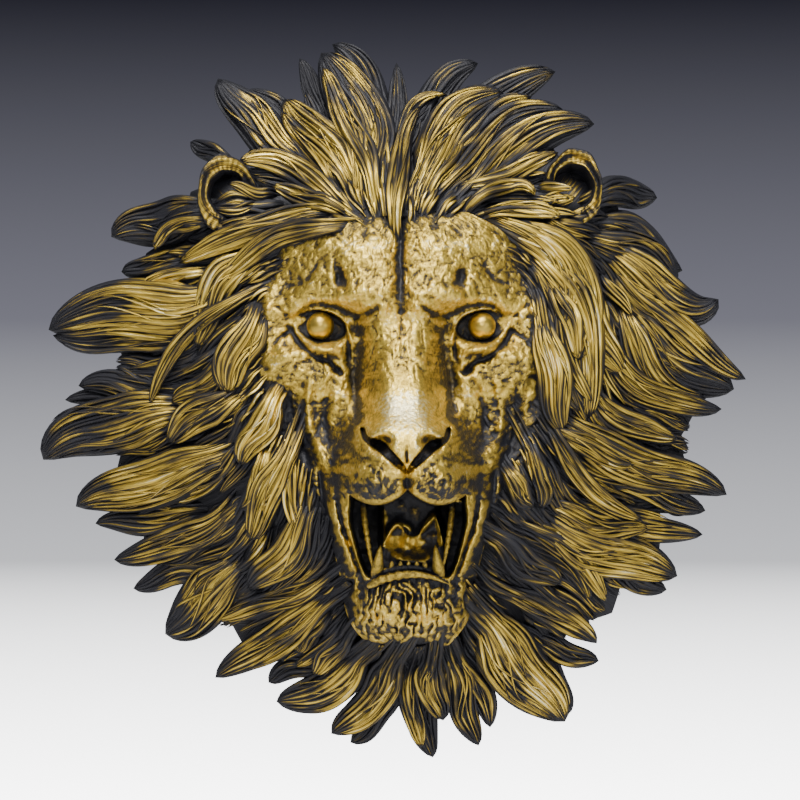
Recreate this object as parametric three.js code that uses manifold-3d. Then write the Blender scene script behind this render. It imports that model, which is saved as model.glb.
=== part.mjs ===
// Lion head wall mask: one casting with a flat back, hung on a wall.
// Millimetres. +X is the viewer's right, +Z is up, the lion looks along -Y.
// The wall plane is y = 0 and "depth" is the distance in front of it.
import * as THREE from 'three';
import ManifoldModule from 'manifold-3d';

const wasm = await ManifoldModule();
wasm.setup();

// sizes: the mask is drawn 500 units high, and takes its size from its height

const MASK_HEIGHT = 500;             // from the lowest to the highest hair
const UNIT = MASK_HEIGHT / 500;

const REACH = 196 * UNIT;            // radius of the mane where the lock ends come free
const RIM_DEPTH = 30 * UNIT;         // thickness of the mane at that radius
const CREST_DEPTH = 104 * UNIT;      // height of the mane round the face
const MANE_LEVEL = 0.3;              // share of the reach where the mane starts to drop
const MANE_SPREAD = 1.15;            // and the share where it has come down to the rim
const RIM_FALL = 0.25;               // drop of the free ends for each unit past the rim
const BACK_SHARE = 0.92;             // the back is this share of the rim's breadth
const BACK_OVERRUN = 4 * UNIT;       // how far solids run past the wall before the flat cut

const FACE_TOP = 134 * UNIT;         // z of the hairline
const FACE_FOOT = -172 * UNIT;       // z of the lowest beard
const EDGE_BAND = 9 * UNIT;          // the face sinks into the hair over this band
const EDGE_SINK = 8 * UNIT;
const LEAN = 3 * UNIT;               // the muzzle stands this far to the right of the brow
const LEAN_RUN = 60 * UNIT;
const SKULL_DEPTH = 58 * UNIT;
const SKULL_RISE = 50 * UNIT;        // how far the skull swells in front of SKULL_DEPTH
const SKULL_HALF_WIDTH = 132 * UNIT;
const SKULL_HALF_HEIGHT = 205 * UNIT;
const SKULL_MIDDLE = 5 * UNIT;

const EYE_SPREAD = 55.5 * UNIT;      // half the distance between the pupils
const EYE_HEIGHT = 53 * UNIT;
const EYE_RADIUS = 9.5 * UNIT;
const EYE_DEPTH = 97 * UNIT;
const LID_REACH = 23 * UNIT;         // half length of the lids' rolled rims
const LID_OPENING = 13.5 * UNIT;     // rise of the upper rim and drop of the lower one
const LID_HALF = 2.6 * UNIT;
const LID_FRONT = 3.4 * UNIT;
const TEAR_DROP = 9 * UNIT;          // the tear corner lies this far under the pupil

const MOUTH_TOP = -69 * UNIT;
const MOUTH_FOOT = -121 * UNIT;
const MOUTH_HALF_TOP = 39 * UNIT;    // half breadth of the open mouth under the lip
const LIP_DEPTH = 150 * UNIT;        // the mouth widens in front of this depth
const MOUTH_FLOOR = 78 * UNIT;       // depth of the palate and throat
const TONGUE_HALF = 17 * UNIT;
const TONGUE_FRONT = 8 * UNIT;
const TONGUE_TIP_DEPTH = 127 * UNIT;
const TONGUE_HEIGHT = -99 * UNIT;    // z of the tongue at its root
const TONGUE_DROP = 13 * UNIT;       // and how far its tip hangs lower
const FANG_SPREAD = 21 * UNIT;
const FANG_DEPTH = 122 * UNIT;
const FANG_HEIGHT = 26 * UNIT;
const FANG_RADIUS = 4.8 * UNIT;

const LOCK_TIP_LIFT = 9 * UNIT;      // free ends stand off the mane by this much
const ROOT_SINK = 9 * UNIT;          // roots start this far inside the mane
const ROOT_REACH = 14 * UNIT;        // and this far back, under the hair before them
const LOCK_FULLNESS = 1.65;          // hidden edges make a lock broader than its shown breadth
const SLIM_LOCK = 15 * UNIT;         // locks narrower than this have a simple section
const LOCK_STEP = 56 * UNIT;         // a lock gains a section for each of these lengths
const RIM_POINTS = 24;               // short ends of the lowest hair, all round the rim
const RIM_POINT_LENGTH = 13 * UNIT;

const EAR_HALF_WIDTH = 20 * UNIT;
const EAR_HALF_HEIGHT = 26 * UNIT;
const EAR_DEPTH = 74 * UNIT;         // depth of the ear's rim over the wall
const EAR_LEAN = 9 * UNIT;           // the rim comes forward outside and sinks inside
const EAR_ROOT = 44 * UNIT;          // the ear goes this far behind its rim
const EAR_HOLLOW = 24 * UNIT;        // depth of its cup
const EAR_SPREAD = 120 * UNIT;
const EAR_HEIGHT = 147 * UNIT;
const MERGE_TOLERANCE = UNIT;

const FACE_COLUMNS = 28;
const FACE_ROWS = 40;
const MANE_RINGS = 4;
const MANE_SPOKES = 2 * RIM_POINTS;
const LOCK_SIDES = 4;

const GOLD = { color: 0x9a8040, roughness: 0.42, metalness: 0.85 };

// small maths

const clamp01 = (v) => Math.min(1, Math.max(0, v));
const mix = (a, b, t) => a + (b - a) * t;
const smooth = (lo, hi, v) => {
  const t = clamp01((v - lo) / (hi - lo));
  return t * t * (3 - 2 * t);
};
const radians = (deg) => deg * Math.PI / 180;

// Rows of a drawing with the columns that are lengths brought to size.
const drawn = (lengths, rows) => rows.map(
  (row) => row.map((value, k) => (lengths.includes(k) ? value * UNIT : value)),
);

// Smooth curve through stations [[at, value], ...] with falling or rising "at".
function along(stations, at) {
  const last = stations.length - 1;
  const sign = Math.sign(stations[last][0] - stations[0][0]);
  let k = 0;
  while (k < last - 1 && sign * (at - stations[k + 1][0]) > 0) k += 1;
  const [a, b] = [stations[k], stations[k + 1]];
  const t = clamp01((at - a[0]) / (b[0] - a[0]));
  const before = stations[Math.max(0, k - 1)];
  const after = stations[Math.min(last, k + 2)];
  const slopeA = (b[1] - before[1]) / (b[0] - before[0]) * (b[0] - a[0]);
  const slopeB = (after[1] - a[1]) / (after[0] - a[0]) * (b[0] - a[0]);
  const t2 = t * t;
  const t3 = t2 * t;
  return (2 * t3 - 3 * t2 + 1) * a[1] + (t3 - 2 * t2 + t) * slopeA
    + (3 * t2 - 2 * t3) * b[1] + (t3 - t2) * slopeB;
}

// solids

// Closed solid from a list of points and a list of triangles.
function solid(points, triangles) {
  return new wasm.Manifold(new wasm.Mesh({
    numProp: 3,
    vertProperties: new Float32Array(points.flat()),
    triVerts: new Uint32Array(triangles.flat()),
  }));
}

// Rings of points joined into a closed skin; each end closes on its own point.
// Each ring runs from the side towards the front, seen along the way forward.
function skin(rings, startPoint, endPoint) {
  const n = rings[0].length;
  const points = [...rings.flat(), startPoint, endPoint];
  const start = points.length - 2;
  const end = points.length - 1;
  const triangles = [];
  for (let k = 0; k < n; k += 1) {
    const next = (k + 1) % n;
    triangles.push([start, k, next]);
    for (let r = 0; r < rings.length - 1; r += 1) {
      const a = r * n;
      const b = a + n;
      triangles.push([a + k, b + k, a + next], [a + next, b + k, b + next]);
    }
    const a = (rings.length - 1) * n;
    triangles.push([a + k, end, a + next]);
  }
  return solid(points, triangles);
}

// Swellings and hollows are rows of: across, up, half sizes, tilt in degrees, rise
// (a hollow is negative), and how flat the top is.
const forms = (rows) => drawn([0, 1, 2, 3, 5], rows);

// Rise of one form at (u, z).
function formRise([across, up, halfU, halfZ, tilt, rise, flat], u, z) {
  const [c, s] = [Math.cos(radians(tilt)), Math.sin(radians(tilt))];
  const du = ((u - across) * c + (z - up) * s) / halfU;
  const dz = ((z - up) * c - (u - across) * s) / halfZ;
  return rise * Math.exp(-(Math.hypot(du, dz) ** flat));
}

// the mane body

// Hair heaped over the forehead and round the ears, on both sides of the middle.
const HEAPS = forms([
  [0, 132, 85, 40, 0, 24, 2],
  [124, 148, 30, 30, 0, 26, 2],
]);

// Depth of the mane's surface over the wall.
function maneDepth(x, z) {
  const radius = Math.hypot(x, z);
  let depth = RIM_DEPTH - RIM_FALL * Math.max(0, radius - REACH);
  depth += (CREST_DEPTH - RIM_DEPTH) * (1 - smooth(MANE_LEVEL, MANE_SPREAD, radius / REACH));
  for (const heap of HEAPS) depth += formRise(heap, Math.abs(x), z);
  return depth;
}

function maneBody() {
  const rings = [];
  for (let r = 0; r <= MANE_RINGS; r += 1) {
    const share = Math.sqrt((MANE_RINGS - r + 0.35) / (MANE_RINGS + 0.35));
    rings.push(Array.from({ length: MANE_SPOKES }, (_, k) => {
      const turn = -2 * Math.PI * k / MANE_SPOKES;
      const point = (k % 2) * (r === 0) * RIM_POINT_LENGTH;
      const radius = REACH * share + point;
      const [x, z] = [radius * Math.cos(turn), radius * Math.sin(turn)];
      return [x, -maneDepth(x, z), z];
    }));
  }
  const back = rings[0].map(([x, , z]) => [x * BACK_SHARE, BACK_OVERRUN, z * BACK_SHARE]);
  return skin([back, ...rings], [0, BACK_OVERRUN, 0], [0, -maneDepth(0, 0), 0]);
}

// the face

// Line down the middle of the face; the muzzle leans a little to the right.
const axis = (z) => LEAN * (0.5 - Math.tanh(z / LEAN_RUN));

// Depth down the middle of the face: [z, depth].
const PROFILE = drawn([0, 1], [
  [134, 92], [116, 108], [92, 120], [72, 128], [53, 131], [34, 141], [14, 153],
  [-6, 169], [-20, 184], [-34, 188], [-46, 184], [-58, 178], [-68, 170], [-84, 150],
  [-104, 138], [-122, 134], [-140, 133], [-156, 120], [-172, 84],
]);

const NOSE_DEPTH = Math.max(...PROFILE.map(([, depth]) => depth));

// Half breadth of the whole face, from the hairline over the cheeks to the chin.
const PLAN = drawn([0, 1], [
  [134, 40], [124, 62], [108, 80], [84, 94], [50, 104], [20, 106], [-10, 102],
  [-35, 86], [-60, 68], [-90, 55], [-120, 47], [-150, 41], [-172, 24],
]);
const faceHalfWidth = (z) => along(PLAN, z);

// Half breadth of brow, bridge, muzzle and chin, at the same heights.
const RIDGE = drawn([0, 1], [
  [134, 66], [104, 62], [80, 50], [60, 31], [40, 25], [16, 25], [-8, 30],
  [-28, 39], [-50, 46], [-70, 47], [-96, 42], [-122, 36], [-150, 37], [-172, 30],
]);

// Swellings and hollows of the face, on both sides of the middle.
const FORMS = forms([
  [24, 104, 21, 30, 8, 7, 2],
  [38, 71, 27, 8, -14, 9, 2],
  [14, 66, 9, 11, 0, 4, 2],
  [62, 76, 22, 10, -22, 6, 2],
  [57, 53, 25, 13, -5, -10, 3],
  [57, 37, 23, 4.5, -12, 7, 2],
  [76, 24, 18, 15, 30, 8, 2],
  [47, 14, 11, 20, 8, 5, 2],
  [31, 26, 5, 26, 4, -8, 2],
  [70, -20, 18, 26, 0, -8, 2],
  [86, 92, 16, 22, 0, -4, 2],
  [24, -20, 10, 8, 25, 5, 2],
  [17, -27, 7, 5, -25, -16, 3],
  [26, -55, 19, 13, 12, 9, 2],
  [52, -52, 8, 17, -10, -6, 2],
  [60, -36, 8, 12, -20, 6, 2],
  [45, -92, 7, 26, -12, 6, 2],
  [17, -137, 15, 12, 0, 6, 2],
  [0, 100, 3.5, 38, 0, -6, 2],
  [0, -57, 3, 11, 0, -9, 2],
]);

// The open mouth: a blind hollow, broad under the lip and narrower at the chin.
function mouthHollow() {
  const half = [0.62, 1, 1.02, 0.97, 0.9, 0.82, 0.7, 0.45].map((v) => v * MOUTH_HALF_TOP);
  const rows = [0, 0.04, 0.2, 0.4, 0.6, 0.8, 0.95, 1];
  const outline = [
    [0, MOUTH_TOP + UNIT],
    ...rows.map((down, k) => [-half[k], mix(MOUTH_TOP, MOUTH_FOOT, down)]),
    ...rows.map((down, k) => [half[k], mix(MOUTH_TOP, MOUTH_FOOT, down)]).reverse(),
  ];
  const middle = (MOUTH_TOP + MOUTH_FOOT) / 2;
  const ring = (depth, share) => outline.map(([u, z]) => [
    axis(middle) + u * share, -depth, middle + (z - middle) * share,
  ]);
  const inFront = NOSE_DEPTH + BACK_OVERRUN;
  const rings = [ring(inFront, 1.12), ring(LIP_DEPTH, 1), ring(MOUTH_FLOOR, 0.8)];
  const [x, z] = [axis(middle), middle];
  return skin(rings, [x, -inFront, z], [x, -MOUTH_FLOOR, z]);
}

function faceDepth(x, z) {
  const u = x - axis(z);
  const side = Math.abs(u);
  const swell = 1 - (u / SKULL_HALF_WIDTH) ** 2 - ((z - SKULL_MIDDLE) / SKULL_HALF_HEIGHT) ** 2;
  const skull = SKULL_DEPTH + SKULL_RISE * Math.sqrt(Math.max(0, swell));
  const ridge = Math.exp(-((side / along(RIDGE, z)) ** 3.4));
  let depth = skull + (along(PROFILE, z) - skull) * ridge;
  for (const form of FORMS) depth += formRise(form, side, z);
  const fromEdge = Math.min(faceHalfWidth(z) - side, FACE_TOP - z);
  return depth - EDGE_SINK * (1 - smooth(0, EDGE_BAND, fromEdge));
}

// Depth of whatever the hair lies on.
function groundDepth(x, z) {
  const onFace = z < FACE_TOP && z > FACE_FOOT
    && Math.abs(x - axis(z)) < faceHalfWidth(z) - 2 * UNIT;
  return onFace ? Math.max(faceDepth(x, z) - 2 * UNIT, maneDepth(x, z)) : maneDepth(x, z);
}

function faceSolid() {
  const columns = Array.from({ length: FACE_COLUMNS + 1 }, (_, i) => {
    const t = 2 * i / FACE_COLUMNS - 1;
    return 0.72 * t + 0.28 * t ** 3;
  });
  const points = [];
  for (let j = 0; j <= FACE_ROWS; j += 1) {
    const z = mix(FACE_FOOT, FACE_TOP, j / FACE_ROWS);
    for (const share of columns) {
      const x = axis(z) + share * faceHalfWidth(z);
      points.push([x, -faceDepth(x, z), z]);
    }
  }
  const across = FACE_COLUMNS + 1;
  const at = (i, j) => j * across + i;
  const triangles = [];
  for (let j = 0; j < FACE_ROWS; j += 1) {
    for (let i = 0; i < FACE_COLUMNS; i += 1) {
      const [a, b, c, d] = [at(i, j), at(i + 1, j), at(i + 1, j + 1), at(i, j + 1)];
      const fallsLeft = Math.abs(points[a][1] - points[c][1])
        < Math.abs(points[b][1] - points[d][1]);
      triangles.push(...(fallsLeft ? [[a, b, c], [a, c, d]] : [[a, b, d], [b, c, d]]));
    }
  }
  const edge = [];
  for (let i = 0; i < FACE_COLUMNS; i += 1) edge.push(at(i, 0));
  for (let j = 0; j < FACE_ROWS; j += 1) edge.push(at(FACE_COLUMNS, j));
  for (let i = FACE_COLUMNS; i > 0; i -= 1) edge.push(at(i, FACE_ROWS));
  for (let j = FACE_ROWS; j > 0; j -= 1) edge.push(at(0, j));
  const firstBack = points.length;
  for (const k of edge) points.push([points[k][0], BACK_OVERRUN, points[k][2]]);
  const centre = points.length;
  points.push([0, BACK_OVERRUN, (FACE_TOP + FACE_FOOT) / 2]);
  edge.forEach((k, n) => {
    const m = (n + 1) % edge.length;
    const [backA, backB] = [firstBack + n, firstBack + m];
    triangles.push([k, backA, edge[m]], [edge[m], backA, backB], [backA, centre, backB]);
  });
  return solid(points, triangles);
}

// swept pieces

// Tube of flattened section along a way; way(t) gives [x, depth, z], half(t) the
// half breadth and front(t) the height of its front over the way.
function sweep(way, half, front, rings, sides) {
  const loops = [];
  for (let r = 0; r < rings; r += 1) {
    const t = r / rings;
    const [x, depth, z] = way(t);
    const ahead = way(t + 0.02);
    const tangent = new THREE.Vector3(ahead[0] - x, depth - ahead[1], ahead[2] - z).normalize();
    const out = new THREE.Vector3(0, -1, 0).addScaledVector(tangent, tangent.y).normalize();
    const across = new THREE.Vector3().crossVectors(tangent, out);
    loops.push(Array.from({ length: sides }, (_, k) => {
      const turn = 2 * Math.PI * (k + (sides % 4) / 4) / sides;
      const rise = Math.sin(turn) * front(t) * (Math.sin(turn) > 0 ? 1 : 0.6);
      const p = new THREE.Vector3(x, -depth, z)
        .addScaledVector(across, Math.cos(turn) * half(t))
        .addScaledVector(out, rise);
      return p.toArray();
    }));
  }
  const [x0, d0, z0] = way(0);
  const [x1, d1, z1] = way(1);
  return skin(loops, [x0, -d0, z0], [x1, -d1, z1]);
}

// Point on a curve from root to tip that leaves and arrives at given turns
// (degrees from the straight line, positive anticlockwise from the front).
function bend(rootX, rootZ, tipX, tipZ, leave, arrive, t) {
  const heading = Math.atan2(tipZ - rootZ, tipX - rootX);
  const arm = 0.38 * Math.hypot(tipX - rootX, tipZ - rootZ);
  const [a, b] = [heading + radians(leave), heading + radians(arrive)];
  const startX = rootX - ROOT_REACH * Math.cos(a);
  const startZ = rootZ - ROOT_REACH * Math.sin(a);
  const xs = [startX, rootX + arm * Math.cos(a), tipX - arm * Math.cos(b), tipX];
  const zs = [startZ, rootZ + arm * Math.sin(a), tipZ - arm * Math.sin(b), tipZ];
  const s = 1 - t;
  const w = [s * s * s, 3 * s * s * t, 3 * s * t * t, t * t * t];
  const blend = (v) => w[0] * v[0] + w[1] * v[1] + w[2] * v[2] + w[3] * v[3];
  return [blend(xs), blend(zs)];
}

// One lock of hair: root and tip in x and z, turns, breadth, and how far its
// layer stands over the mane.
function lockSolid([rootX, rootZ, tipX, tipZ, leave, arrive, shown, layer]) {
  const breadth = shown * LOCK_FULLNESS;
  const way = (t) => {
    const [x, z] = bend(rootX, rootZ, tipX, tipZ, leave, arrive, t);
    const stand = layer * smooth(-0.15, 0.3, t) - ROOT_SINK * (1 - smooth(0, 0.25, t));
    return [x, groundDepth(x, z) + stand + LOCK_TIP_LIFT * t * t, z];
  };
  const half = (t) => breadth * 0.5 * (0.15 + 0.85 * smooth(0, 0.4, t))
    * Math.max(0, 1 - t ** 5) ** 0.7;
  const front = (t) => 0.36 * breadth * (0.4 + 0.6 * smooth(0, 0.35, t))
    * Math.sqrt(Math.max(0.01, 1 - t ** 2.6));
  const length = Math.hypot(tipX - rootX, tipZ - rootZ);
  const rings = Math.round(2.6 + length / LOCK_STEP);
  return sweep(way, half, front, rings, shown < SLIM_LOCK ? 3 : LOCK_SIDES);
}

// Rows: root x, root z, tip x, tip z, leaving turn, arriving turn, breadth, layer.
const LOCKS = drawn([0, 1, 2, 3, 6, 7], [
  // crown, left of the parting
  [-64, 167, -128, 229, 15, -21, 21, 4],
  [-50, 163, -110, 220, -5, 14, 14, 0],
  [-33, 149, -82, 214, -3, 4, 20, 7],
  [-45, 178, -73, 242, -8, 8, 11, 2],
  [-22, 142, -56, 247, -9, 28, 28, 6],
  [-12, 142, -50, 251, -13, 42, 20, 2],
  [-19, 139, -57, 235, -5, 12, 13, 16],
  [-41, 135, -113, 166, -39, 40, 13, 10],
  [-39, 130, -155, 96, -38, 3, 14, 8],
  [-124, 168, -148, 183, 0, 8, 9, 12],
  // parting
  [-10, 132, -3, 239, 18, 8, 11, 4],
  [-5, 114, 32, 214, 30, -80, 8, 8],
  [-3, 114, 14, 207, 16, -28, 10, 8],
  // crown, right of the parting
  [2, 163, 54, 238, 35, -34, 17, 0],
  [18, 149, 108, 233, 25, -37, 21, 3],
  [25, 150, 91, 214, 22, -30, 13, 8],
  [11, 142, 71, 218, 30, -26, 24, 8],
  [20, 139, 113, 206, 18, -36, 15, 6],
  [38, 135, 135, 194, 27, -33, 21, 4],
  // right side
  [72, 122, 123, 29, 61, -54, 20, 7],
  [130, 140, 179, 144, 20, -24, 15, 4],
  [132, 127, 197, 94, 45, 9, 15, 5],
  [128, 117, 193, 84, 20, -7, 21, 4],
  [139, 111, 221, 74, -17, 65, 21, 7],
  [142, 104, 242, 18, -10, 18, 15, 8],
  [154, 69, 233, 8, -13, 23, 24, 0],
  [151, 69, 213, 3, -49, 46, 16, 4],
  [140, 58, 224, -4, -56, 46, 14, 8],
  [130, 13, 192, -24, -41, 28, 12, 8],
  [100, -8, 227, -66, -20, -7, 21, 7],
  [139, -54, 213, -76, 12, -8, 14, 2],
  [111, -68, 211, -94, 4, 10, 14, 4],
  [100, -71, 172, -89, -13, 8, 14, 7],
  [93, -78, 193, -122, -6, 6, 24, 6],
  [79, -82, 144, -138, 12, -23, 12, 9],
  [125, -100, 186, -131, 4, 6, 15, 2],
  [62, -92, 110, -126, -4, 4, 15, 8],
  [69, -131, 137, -168, -11, -30, 13, 7],
  [93, -166, 138, -182, -3, 0, 12, 2],
  [60, 128, 112, 52, 62, -52, 15, 8],
  [84, 112, 128, -12, 25, -25, 23, 4],
  [112, 100, 152, 18, -10, 10, 23, 3],
  [98, 58, 112, -20, -8, 8, 17, 5],
  // left side
  [-98, 104, -142, 38, -25, 25, 19, 4],
  [-102, 60, -120, 6, -10, 10, 19, 6],
  [-131, 132, -203, 115, -12, 20, 22, 5],
  [-148, 99, -197, 92, -8, 8, 13, 0],
  [-115, 80, -249, 53, 24, 12, 29, 7],
  [-138, 48, -245, 49, 15, -12, 13, 6],
  [-141, 2, -227, 11, -5, 14, 16, 3],
  [-150, -2, -237, 2, 0, 5, 11, 0],
  [-108, 29, -159, -1, 0, 0, 15, 8],
  [-141, -6, -251, -41, -14, 33, 28, 6],
  [-116, 7, -162, -27, -3, 6, 17, 9],
  [-113, -33, -228, -74, 14, 16, 25, 7],
  [-138, -76, -215, -86, 4, 8, 13, 3],
  [-115, -68, -202, -109, 25, -23, 16, 6],
  [-117, -110, -189, -129, -5, 3, 14, 3],
  [-110, -110, -167, -161, 12, -8, 26, 5],
  [-87, 3, -111, -43, 0, 0, 15, 5],
  [-78, -33, -106, -94, 4, -3, 17, 6],
  [-64, -71, -106, -130, 17, -12, 18, 5],
  // foot
  [-50, -117, -129, -151, 11, -12, 12, 6],
  [-47, -131, -130, -194, 0, 2, 17, 6],
  [-38, -160, -62, -190, 0, -8, 12, 6],
  [-56, -181, -94, -196, -15, 15, 11, 0],
  [-21, -169, -88, -210, 23, -16, 20, 5],
  [0, -169, -49, -233, 13, -14, 18, 6],
  [-2, -195, -37, -238, 15, -15, 14, 0],
  [7, -183, 14, -242, -23, 15, 11, 5],
  [9, -187, 21, -250, 0, 0, 15, -2],
  [21, -174, 28, -223, -15, 12, 15, 6],
  [32, -172, 53, -241, -6, -4, 15, 5],
  [37, -169, 62, -228, 4, -10, 13, 2],
  [50, -143, 113, -225, 0, -5, 30, 6],
  [97, -176, 115, -220, 15, -15, 13, 2],
]);

// small parts

function ball(x, depth, z, radius) {
  const rings = Array.from({ length: 4 }, (_, r) => {
    const lean = Math.PI * (r + 1) / 5;
    return Array.from({ length: 10 }, (_, k) => {
      const turn = 2 * Math.PI * k / 10;
      const across = radius * Math.sin(lean);
      return [x + across * Math.cos(turn), -depth + across * Math.sin(turn),
        z + radius * Math.cos(lean)];
    });
  });
  return skin(rings, [x, -depth, z + radius], [x, -depth, z - radius]);
}

// Eyeball with a rolled rim above and below it, running down to the tear corner.
function eye(side) {
  const middle = axis(EYE_HEIGHT) + side * EYE_SPREAD;
  const rim = (opening, stand) => sweep((t) => {
    const bulge = Math.sin(Math.PI * t);
    return [
      middle + side * mix(LID_REACH, -1.2 * LID_REACH, t),
      EYE_DEPTH + (stand + bulge) * LID_HALF * 2,
      EYE_HEIGHT + opening * bulge ** 0.8 + mix(TEAR_DROP / 3, -TEAR_DROP, t),
    ];
  }, () => LID_HALF, () => LID_FRONT, 6, 4);
  return [
    ball(middle, EYE_DEPTH, EYE_HEIGHT, EYE_RADIUS),
    rim(LID_OPENING, 1),
    rim(-LID_OPENING, 0.6),
  ];
}

// Ear: a cup with a thick rim, open to the front, its outer side standing forward.
function ear(side) {
  const [x, z] = [axis(EAR_HEIGHT) + side * EAR_SPREAD, EAR_HEIGHT + side * 2 * UNIT];
  const loop = (size, behind) => Array.from({ length: 12 }, (_, k) => {
    const turn = -2 * Math.PI * k / 12;
    const [c, s] = [Math.cos(turn), Math.sin(turn)];
    const lean = EAR_LEAN * size * (side * c + 0.4 * s);
    return [x + EAR_HALF_WIDTH * size * c, behind - EAR_DEPTH - lean,
      z + EAR_HALF_HEIGHT * size * s];
  });
  const loops = [
    loop(0.8, EAR_ROOT),
    loop(1, 0.3 * EAR_HOLLOW),
    loop(0.92, 0),
    loop(0.68, 0.2 * EAR_HOLLOW),
    loop(0.52, 0.9 * EAR_HOLLOW),
  ];
  return skin(loops, [x, EAR_ROOT - EAR_DEPTH, z], [x, EAR_HOLLOW - EAR_DEPTH, z]);
}

// Tongue, curled up at its edges, and the two lower fangs.
function mouthParts() {
  const middle = axis(MOUTH_TOP);
  const root = MOUTH_FLOOR - BACK_OVERRUN;
  const tongue = sweep(
    (t) => [middle, mix(root, TONGUE_TIP_DEPTH, Math.sin(t * 1.5)), TONGUE_HEIGHT - t * TONGUE_DROP],
    (t) => TONGUE_HALF * (1 - 0.25 * t * t), () => TONGUE_FRONT, 5, 6,
  );
  const fangs = [-1, 1].map((side) => sweep(
    (t) => [middle + side * FANG_SPREAD * (1 - 0.14 * t), FANG_DEPTH + t * 2 * FANG_RADIUS,
      MOUTH_FOOT + t * FANG_HEIGHT],
    (t) => FANG_RADIUS * (1 - 0.75 * t), (t) => FANG_RADIUS * (1 - 0.75 * t), 3, 6,
  ));
  return [tongue, ...fangs];
}

// the whole mask

const solids = [
  maneBody().add(faceSolid()).subtract(mouthHollow()),
  ...mouthParts(),
  ...[-1, 1].flatMap(eye),
  ...[-1, 1].map(ear),
  ...LOCKS.map(lockSolid),
];

// Everything is one casting: the outer skin of all the forms, filled solid inside.
const joined = wasm.Manifold.union(solids)
  .trimByPlane([0, -1, 0], 0)
  .simplify(MERGE_TOLERANCE);
const body = joined.decompose().reduce((a, b) => (b.volume() > a.volume() ? b : a));

function meshOf(manifold, name, finish) {
  const { vertProperties, triVerts } = manifold.getMesh();
  const geometry = new THREE.BufferGeometry();
  geometry.setAttribute('position', new THREE.BufferAttribute(vertProperties, 3));
  geometry.setIndex(new THREE.BufferAttribute(triVerts, 1));
  const mesh = new THREE.Mesh(geometry, new THREE.MeshStandardMaterial(finish));
  mesh.name = name;
  return mesh;
}

const mask = new THREE.Group();
mask.name = 'lion_head_mask';
mask.add(meshOf(body, 'lion_mask', GOLD));

export default mask;
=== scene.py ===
"""Lion head wall mask: one casting with a flat back, gold rubbed over black.

Lengths in the functions are millimetres; they become metres when a mesh is made.
+X is the viewer's right, +Z is up, the lion looks along -Y, and "depth" is the
distance of a point in front of the wall plane, y = 0.
"""

import math

import bpy
import numpy as np
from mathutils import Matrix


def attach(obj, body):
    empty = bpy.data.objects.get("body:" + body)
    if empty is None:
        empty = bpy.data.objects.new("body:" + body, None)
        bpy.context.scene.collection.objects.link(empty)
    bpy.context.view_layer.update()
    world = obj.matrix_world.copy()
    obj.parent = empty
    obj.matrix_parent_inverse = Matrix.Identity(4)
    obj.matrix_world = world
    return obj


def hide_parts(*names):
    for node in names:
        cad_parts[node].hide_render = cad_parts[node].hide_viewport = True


bl_info = {
    "name": "Lion head wall mask",
    "version": (1, 0, 0),
    "blender": (4, 5, 0),
    "location": "View3D > Sidebar > Lion mask",
    "description": "Builds the cast lion head, its mane and a plain studio",
    "category": "Add Mesh",
}

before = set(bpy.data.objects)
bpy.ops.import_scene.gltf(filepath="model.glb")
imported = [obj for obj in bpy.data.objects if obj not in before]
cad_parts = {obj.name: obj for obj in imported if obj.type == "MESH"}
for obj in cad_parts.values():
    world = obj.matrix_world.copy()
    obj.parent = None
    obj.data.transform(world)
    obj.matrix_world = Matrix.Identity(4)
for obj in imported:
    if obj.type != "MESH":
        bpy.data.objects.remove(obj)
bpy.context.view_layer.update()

MM = 0.001
NODE = "lion_mask"

# sizes shared with the solid

REACH = 196.0
RIM_DEPTH = 30.0
CREST_DEPTH = 104.0
MANE_LEVEL = 0.3
MANE_SPREAD = 1.15
RIM_FALL = 0.25
BACK_SHARE = 0.92
BED_DEPTH = 40.0
RIM_POINTS = 24
RIM_POINT_LENGTH = 13.0
EAR_HALF_WIDTH = 20.0
EAR_HALF_HEIGHT = 26.0
EAR_DEPTH = 74.0
EAR_LEAN = 9.0
EAR_ROOT = 44.0
EAR_HOLLOW = 24.0
EAR_SPREAD = 120.0
EAR_HEIGHT = 147.0
FACE_TOP = 134.0
FACE_FOOT = -172.0
EDGE_BAND = 9.0
EDGE_SINK = 8.0
SKULL_DEPTH = 58.0
SKULL_RISE = 50.0
SKULL_HALF_WIDTH = 132.0
SKULL_HALF_HEIGHT = 205.0
SKULL_MIDDLE = 5.0
LEAN = 3.0
LEAN_RUN = 60.0
EYE_SPREAD = 55.5
EYE_HEIGHT = 53.0
EYE_RADIUS = 9.5
EYE_DEPTH = 97.0
MOUTH_TOP = -69.0
MOUTH_FOOT = -121.0
MOUTH_HALF_TOP = 39.0
MOUTH_FLOOR = 78.0
LOCK_TIP_LIFT = 9.0
ROOT_SINK = 9.0
ROOT_REACH = 14.0
LOCK_FULLNESS = 1.65

# fineness of the meshes

STRAND_PITCH = 4.0
STRAND_SIDES = 6
LOCK_RINGS = 27
LOCK_SIDES = 10
BODY_SPOKES = 320
BODY_RINGS = 60
FACE_COLUMNS = 290
FACE_ROWS = 300
EAR_SPOKES = 96

# small maths


def smooth(low, high, value):
    """Rises from 0 at low to 1 at high with level ends."""
    t = np.clip((value - low) / (high - low), 0.0, 1.0)
    return t * t * (3.0 - 2.0 * t)


def mix(a, b, t):
    """A straight blend from a to b."""
    return a + (b - a) * t


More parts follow.
